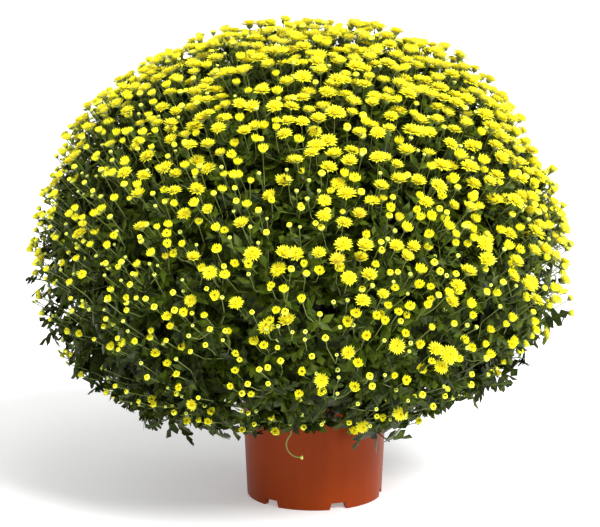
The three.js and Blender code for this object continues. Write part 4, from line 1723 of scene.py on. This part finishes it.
def grow_each(context, skeletons, name, values):
    """Grows a piece on the skeleton of each cell. Each piece comes with its cell's label."""
    tree = growth_tree()
    for cell in plant_of(context).cells:
        values["Seed"] = settings_of(context).blooms.seed + cell.index
        full_name = name + cell.label
        yield grow(full_name, skeletons[cell.index].mesh(full_name), tree, values), cell.label


class CHRYSANTHEMUM_OT_shoots(bpy.types.Operator):
    """Grows the leafy shoots with their stems, leaves and flower stalks"""

    bl_idname = "chrysanthemum.shoots"
    bl_label = "Grow shoots"

    def execute(self, context):
        foliage = settings_of(context).foliage
        values = {
            "Forms": leaf_forms(foliage),
            "Size variation": 0.08,
            "Tube sides": 5,
            "Form material": leaf_material(foliage),
            "Tube material": stem_material(foliage),
        }
        for piece, label in grow_each(context, plant_of(context).shoots, "leafy_shoots_", values):
            settle(piece, "leaf", "leafy_stem_" + label)
        return {"FINISHED"}


class CHRYSANTHEMUM_OT_blooms(bpy.types.Operator):
    """Sets the flower heads of each spray"""

    bl_idname = "chrysanthemum.blooms"
    bl_label = "Set blooms"

    def execute(self, context):
        blooms = settings_of(context).blooms
        values = {
            "Forms": head_forms(random.Random(blooms.seed + 2)),
            "Size variation": blooms.size_variation,
            "Tube sides": 3,
            "Form material": petal_material(blooms),
        }
        for piece, label in grow_each(context, plant_of(context).sprays, "flower_heads_", values):
            settle(piece, "petal", "flower_spray_" + label)
        return {"FINISHED"}


# ---- Stage --------------------------------------------------------------------------------------

FLOOR_CORNERS = ((-30, -30, 0), (30, -30, 0), (30, 30, 0), (-30, 30, 0))
# The way that the key light shines.
KEY_AIM = (-2.0, 2.4, -2.9)


def add_lamp(light, spot, aim):
    lamp = bpy.data.objects.new(light.name, light)
    lamp.location = spot
    lamp.rotation_euler = Vector(aim).to_track_quat("-Z", "Y").to_euler()
    bpy.context.scene.collection.objects.link(lamp)


def add_key(stage):
    light = bpy.data.lights.new("key", "SUN")
    light.energy = stage.key
    light.angle = stage.key_width
    add_lamp(light, (0, 0, 0), KEY_AIM)


def add_soft_box(name, width, height, power, spot, aim):
    """A soft rectangular light."""
    light = bpy.data.lights.new(name, "AREA")
    light.shape = "RECTANGLE"
    light.size = width
    light.size_y = height
    light.energy = power
    add_lamp(light, spot, aim)


class CHRYSANTHEMUM_OT_stage(bpy.types.Operator):
    """Sets up the floor, the lights and the camera"""

    bl_idname = "chrysanthemum.stage"
    bl_label = "Set stage"

    def execute(self, context):
        stage = settings_of(context).stage
        scene = context.scene
        mesh = bpy.data.meshes.new("floor")
        mesh.from_pydata(FLOOR_CORNERS, [], [(0, 1, 2, 3)])
        mesh.materials.append(floor_material(stage))
        floor = new_object("floor", mesh)
        floor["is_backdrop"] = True
        add_key(stage)
        add_soft_box("strip", 0.22, 1.1, stage.strip, (1.6, -0.5, 0.2), (-1.6, 0.5, -0.12))
        add_soft_box("top", 0.9, 0.9, stage.top, (0.1, -0.45, 1.55), (-0.1, 0.35, -1.0))
        world = bpy.data.worlds.new("studio")
        world.use_nodes = True
        world.node_tree.nodes["Background"].inputs["Color"].default_value = (1, 1, 1, 1)
        world.node_tree.nodes["Background"].inputs["Strength"].default_value = stage.sky
        scene.world = world
        scene.view_settings.view_transform = "Standard"
        camera = bpy.data.objects.new("camera", bpy.data.cameras.new("camera"))
        camera.data.lens = stage.lens
        camera.location = stage.camera_place
        camera.rotation_euler = (math.pi / 2 - stage.camera_pitch, 0, 0)
        scene.collection.objects.link(camera)
        scene.camera = camera
        return {"FINISHED"}


# ---- Panel and registration ---------------------------------------------------------------------

OPERATORS = (
    CHRYSANTHEMUM_OT_stage,
    CHRYSANTHEMUM_OT_pot,
    CHRYSANTHEMUM_OT_compost,
    CHRYSANTHEMUM_OT_shoots,
    CHRYSANTHEMUM_OT_blooms,
)


class CHRYSANTHEMUM_PT_panel(bpy.types.Panel):
    """Lists the steps and their settings"""

    bl_label = "Chrysanthemum"
    bl_idname = "CHRYSANTHEMUM_PT_panel"
    bl_space_type = "VIEW_3D"
    bl_region_type = "UI"
    bl_category = "Chrysanthemum"

    def draw(self, context):
        every = settings_of(context)
        for operator in OPERATORS:
            self.layout.operator(operator.bl_idname)
        for group in ("pot", "compost", "foliage", "blooms", "stage"):
            box = self.layout.box()
            box.label(text=group.capitalize())
            settings = getattr(every, group)
            for name in settings.__annotations__:
                box.prop(settings, name)


CLASSES = (
    PotSettings,
    CompostSettings,
    FoliageSettings,
    BloomSettings,
    StageSettings,
    PlantSettings,
    *OPERATORS,
    CHRYSANTHEMUM_PT_panel,
)


def register():
    for entry in CLASSES:
        bpy.utils.register_class(entry)
    bpy.types.Scene.chrysanthemum = PointerProperty(type=PlantSettings)


def unregister():
    del bpy.types.Scene.chrysanthemum
    for entry in reversed(CLASSES):
        bpy.utils.unregister_class(entry)


def main():
    register()
    bpy.ops.chrysanthemum.stage()
    bpy.ops.chrysanthemum.pot()
    bpy.ops.chrysanthemum.compost()
    bpy.ops.chrysanthemum.shoots()
    bpy.ops.chrysanthemum.blooms()
    boxes = {"cad": CAD_BOX, "visual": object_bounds()}
    {name: [list(corner) for corner in box] for name, box in boxes.items()}


if __name__ == "__main__":
    main()
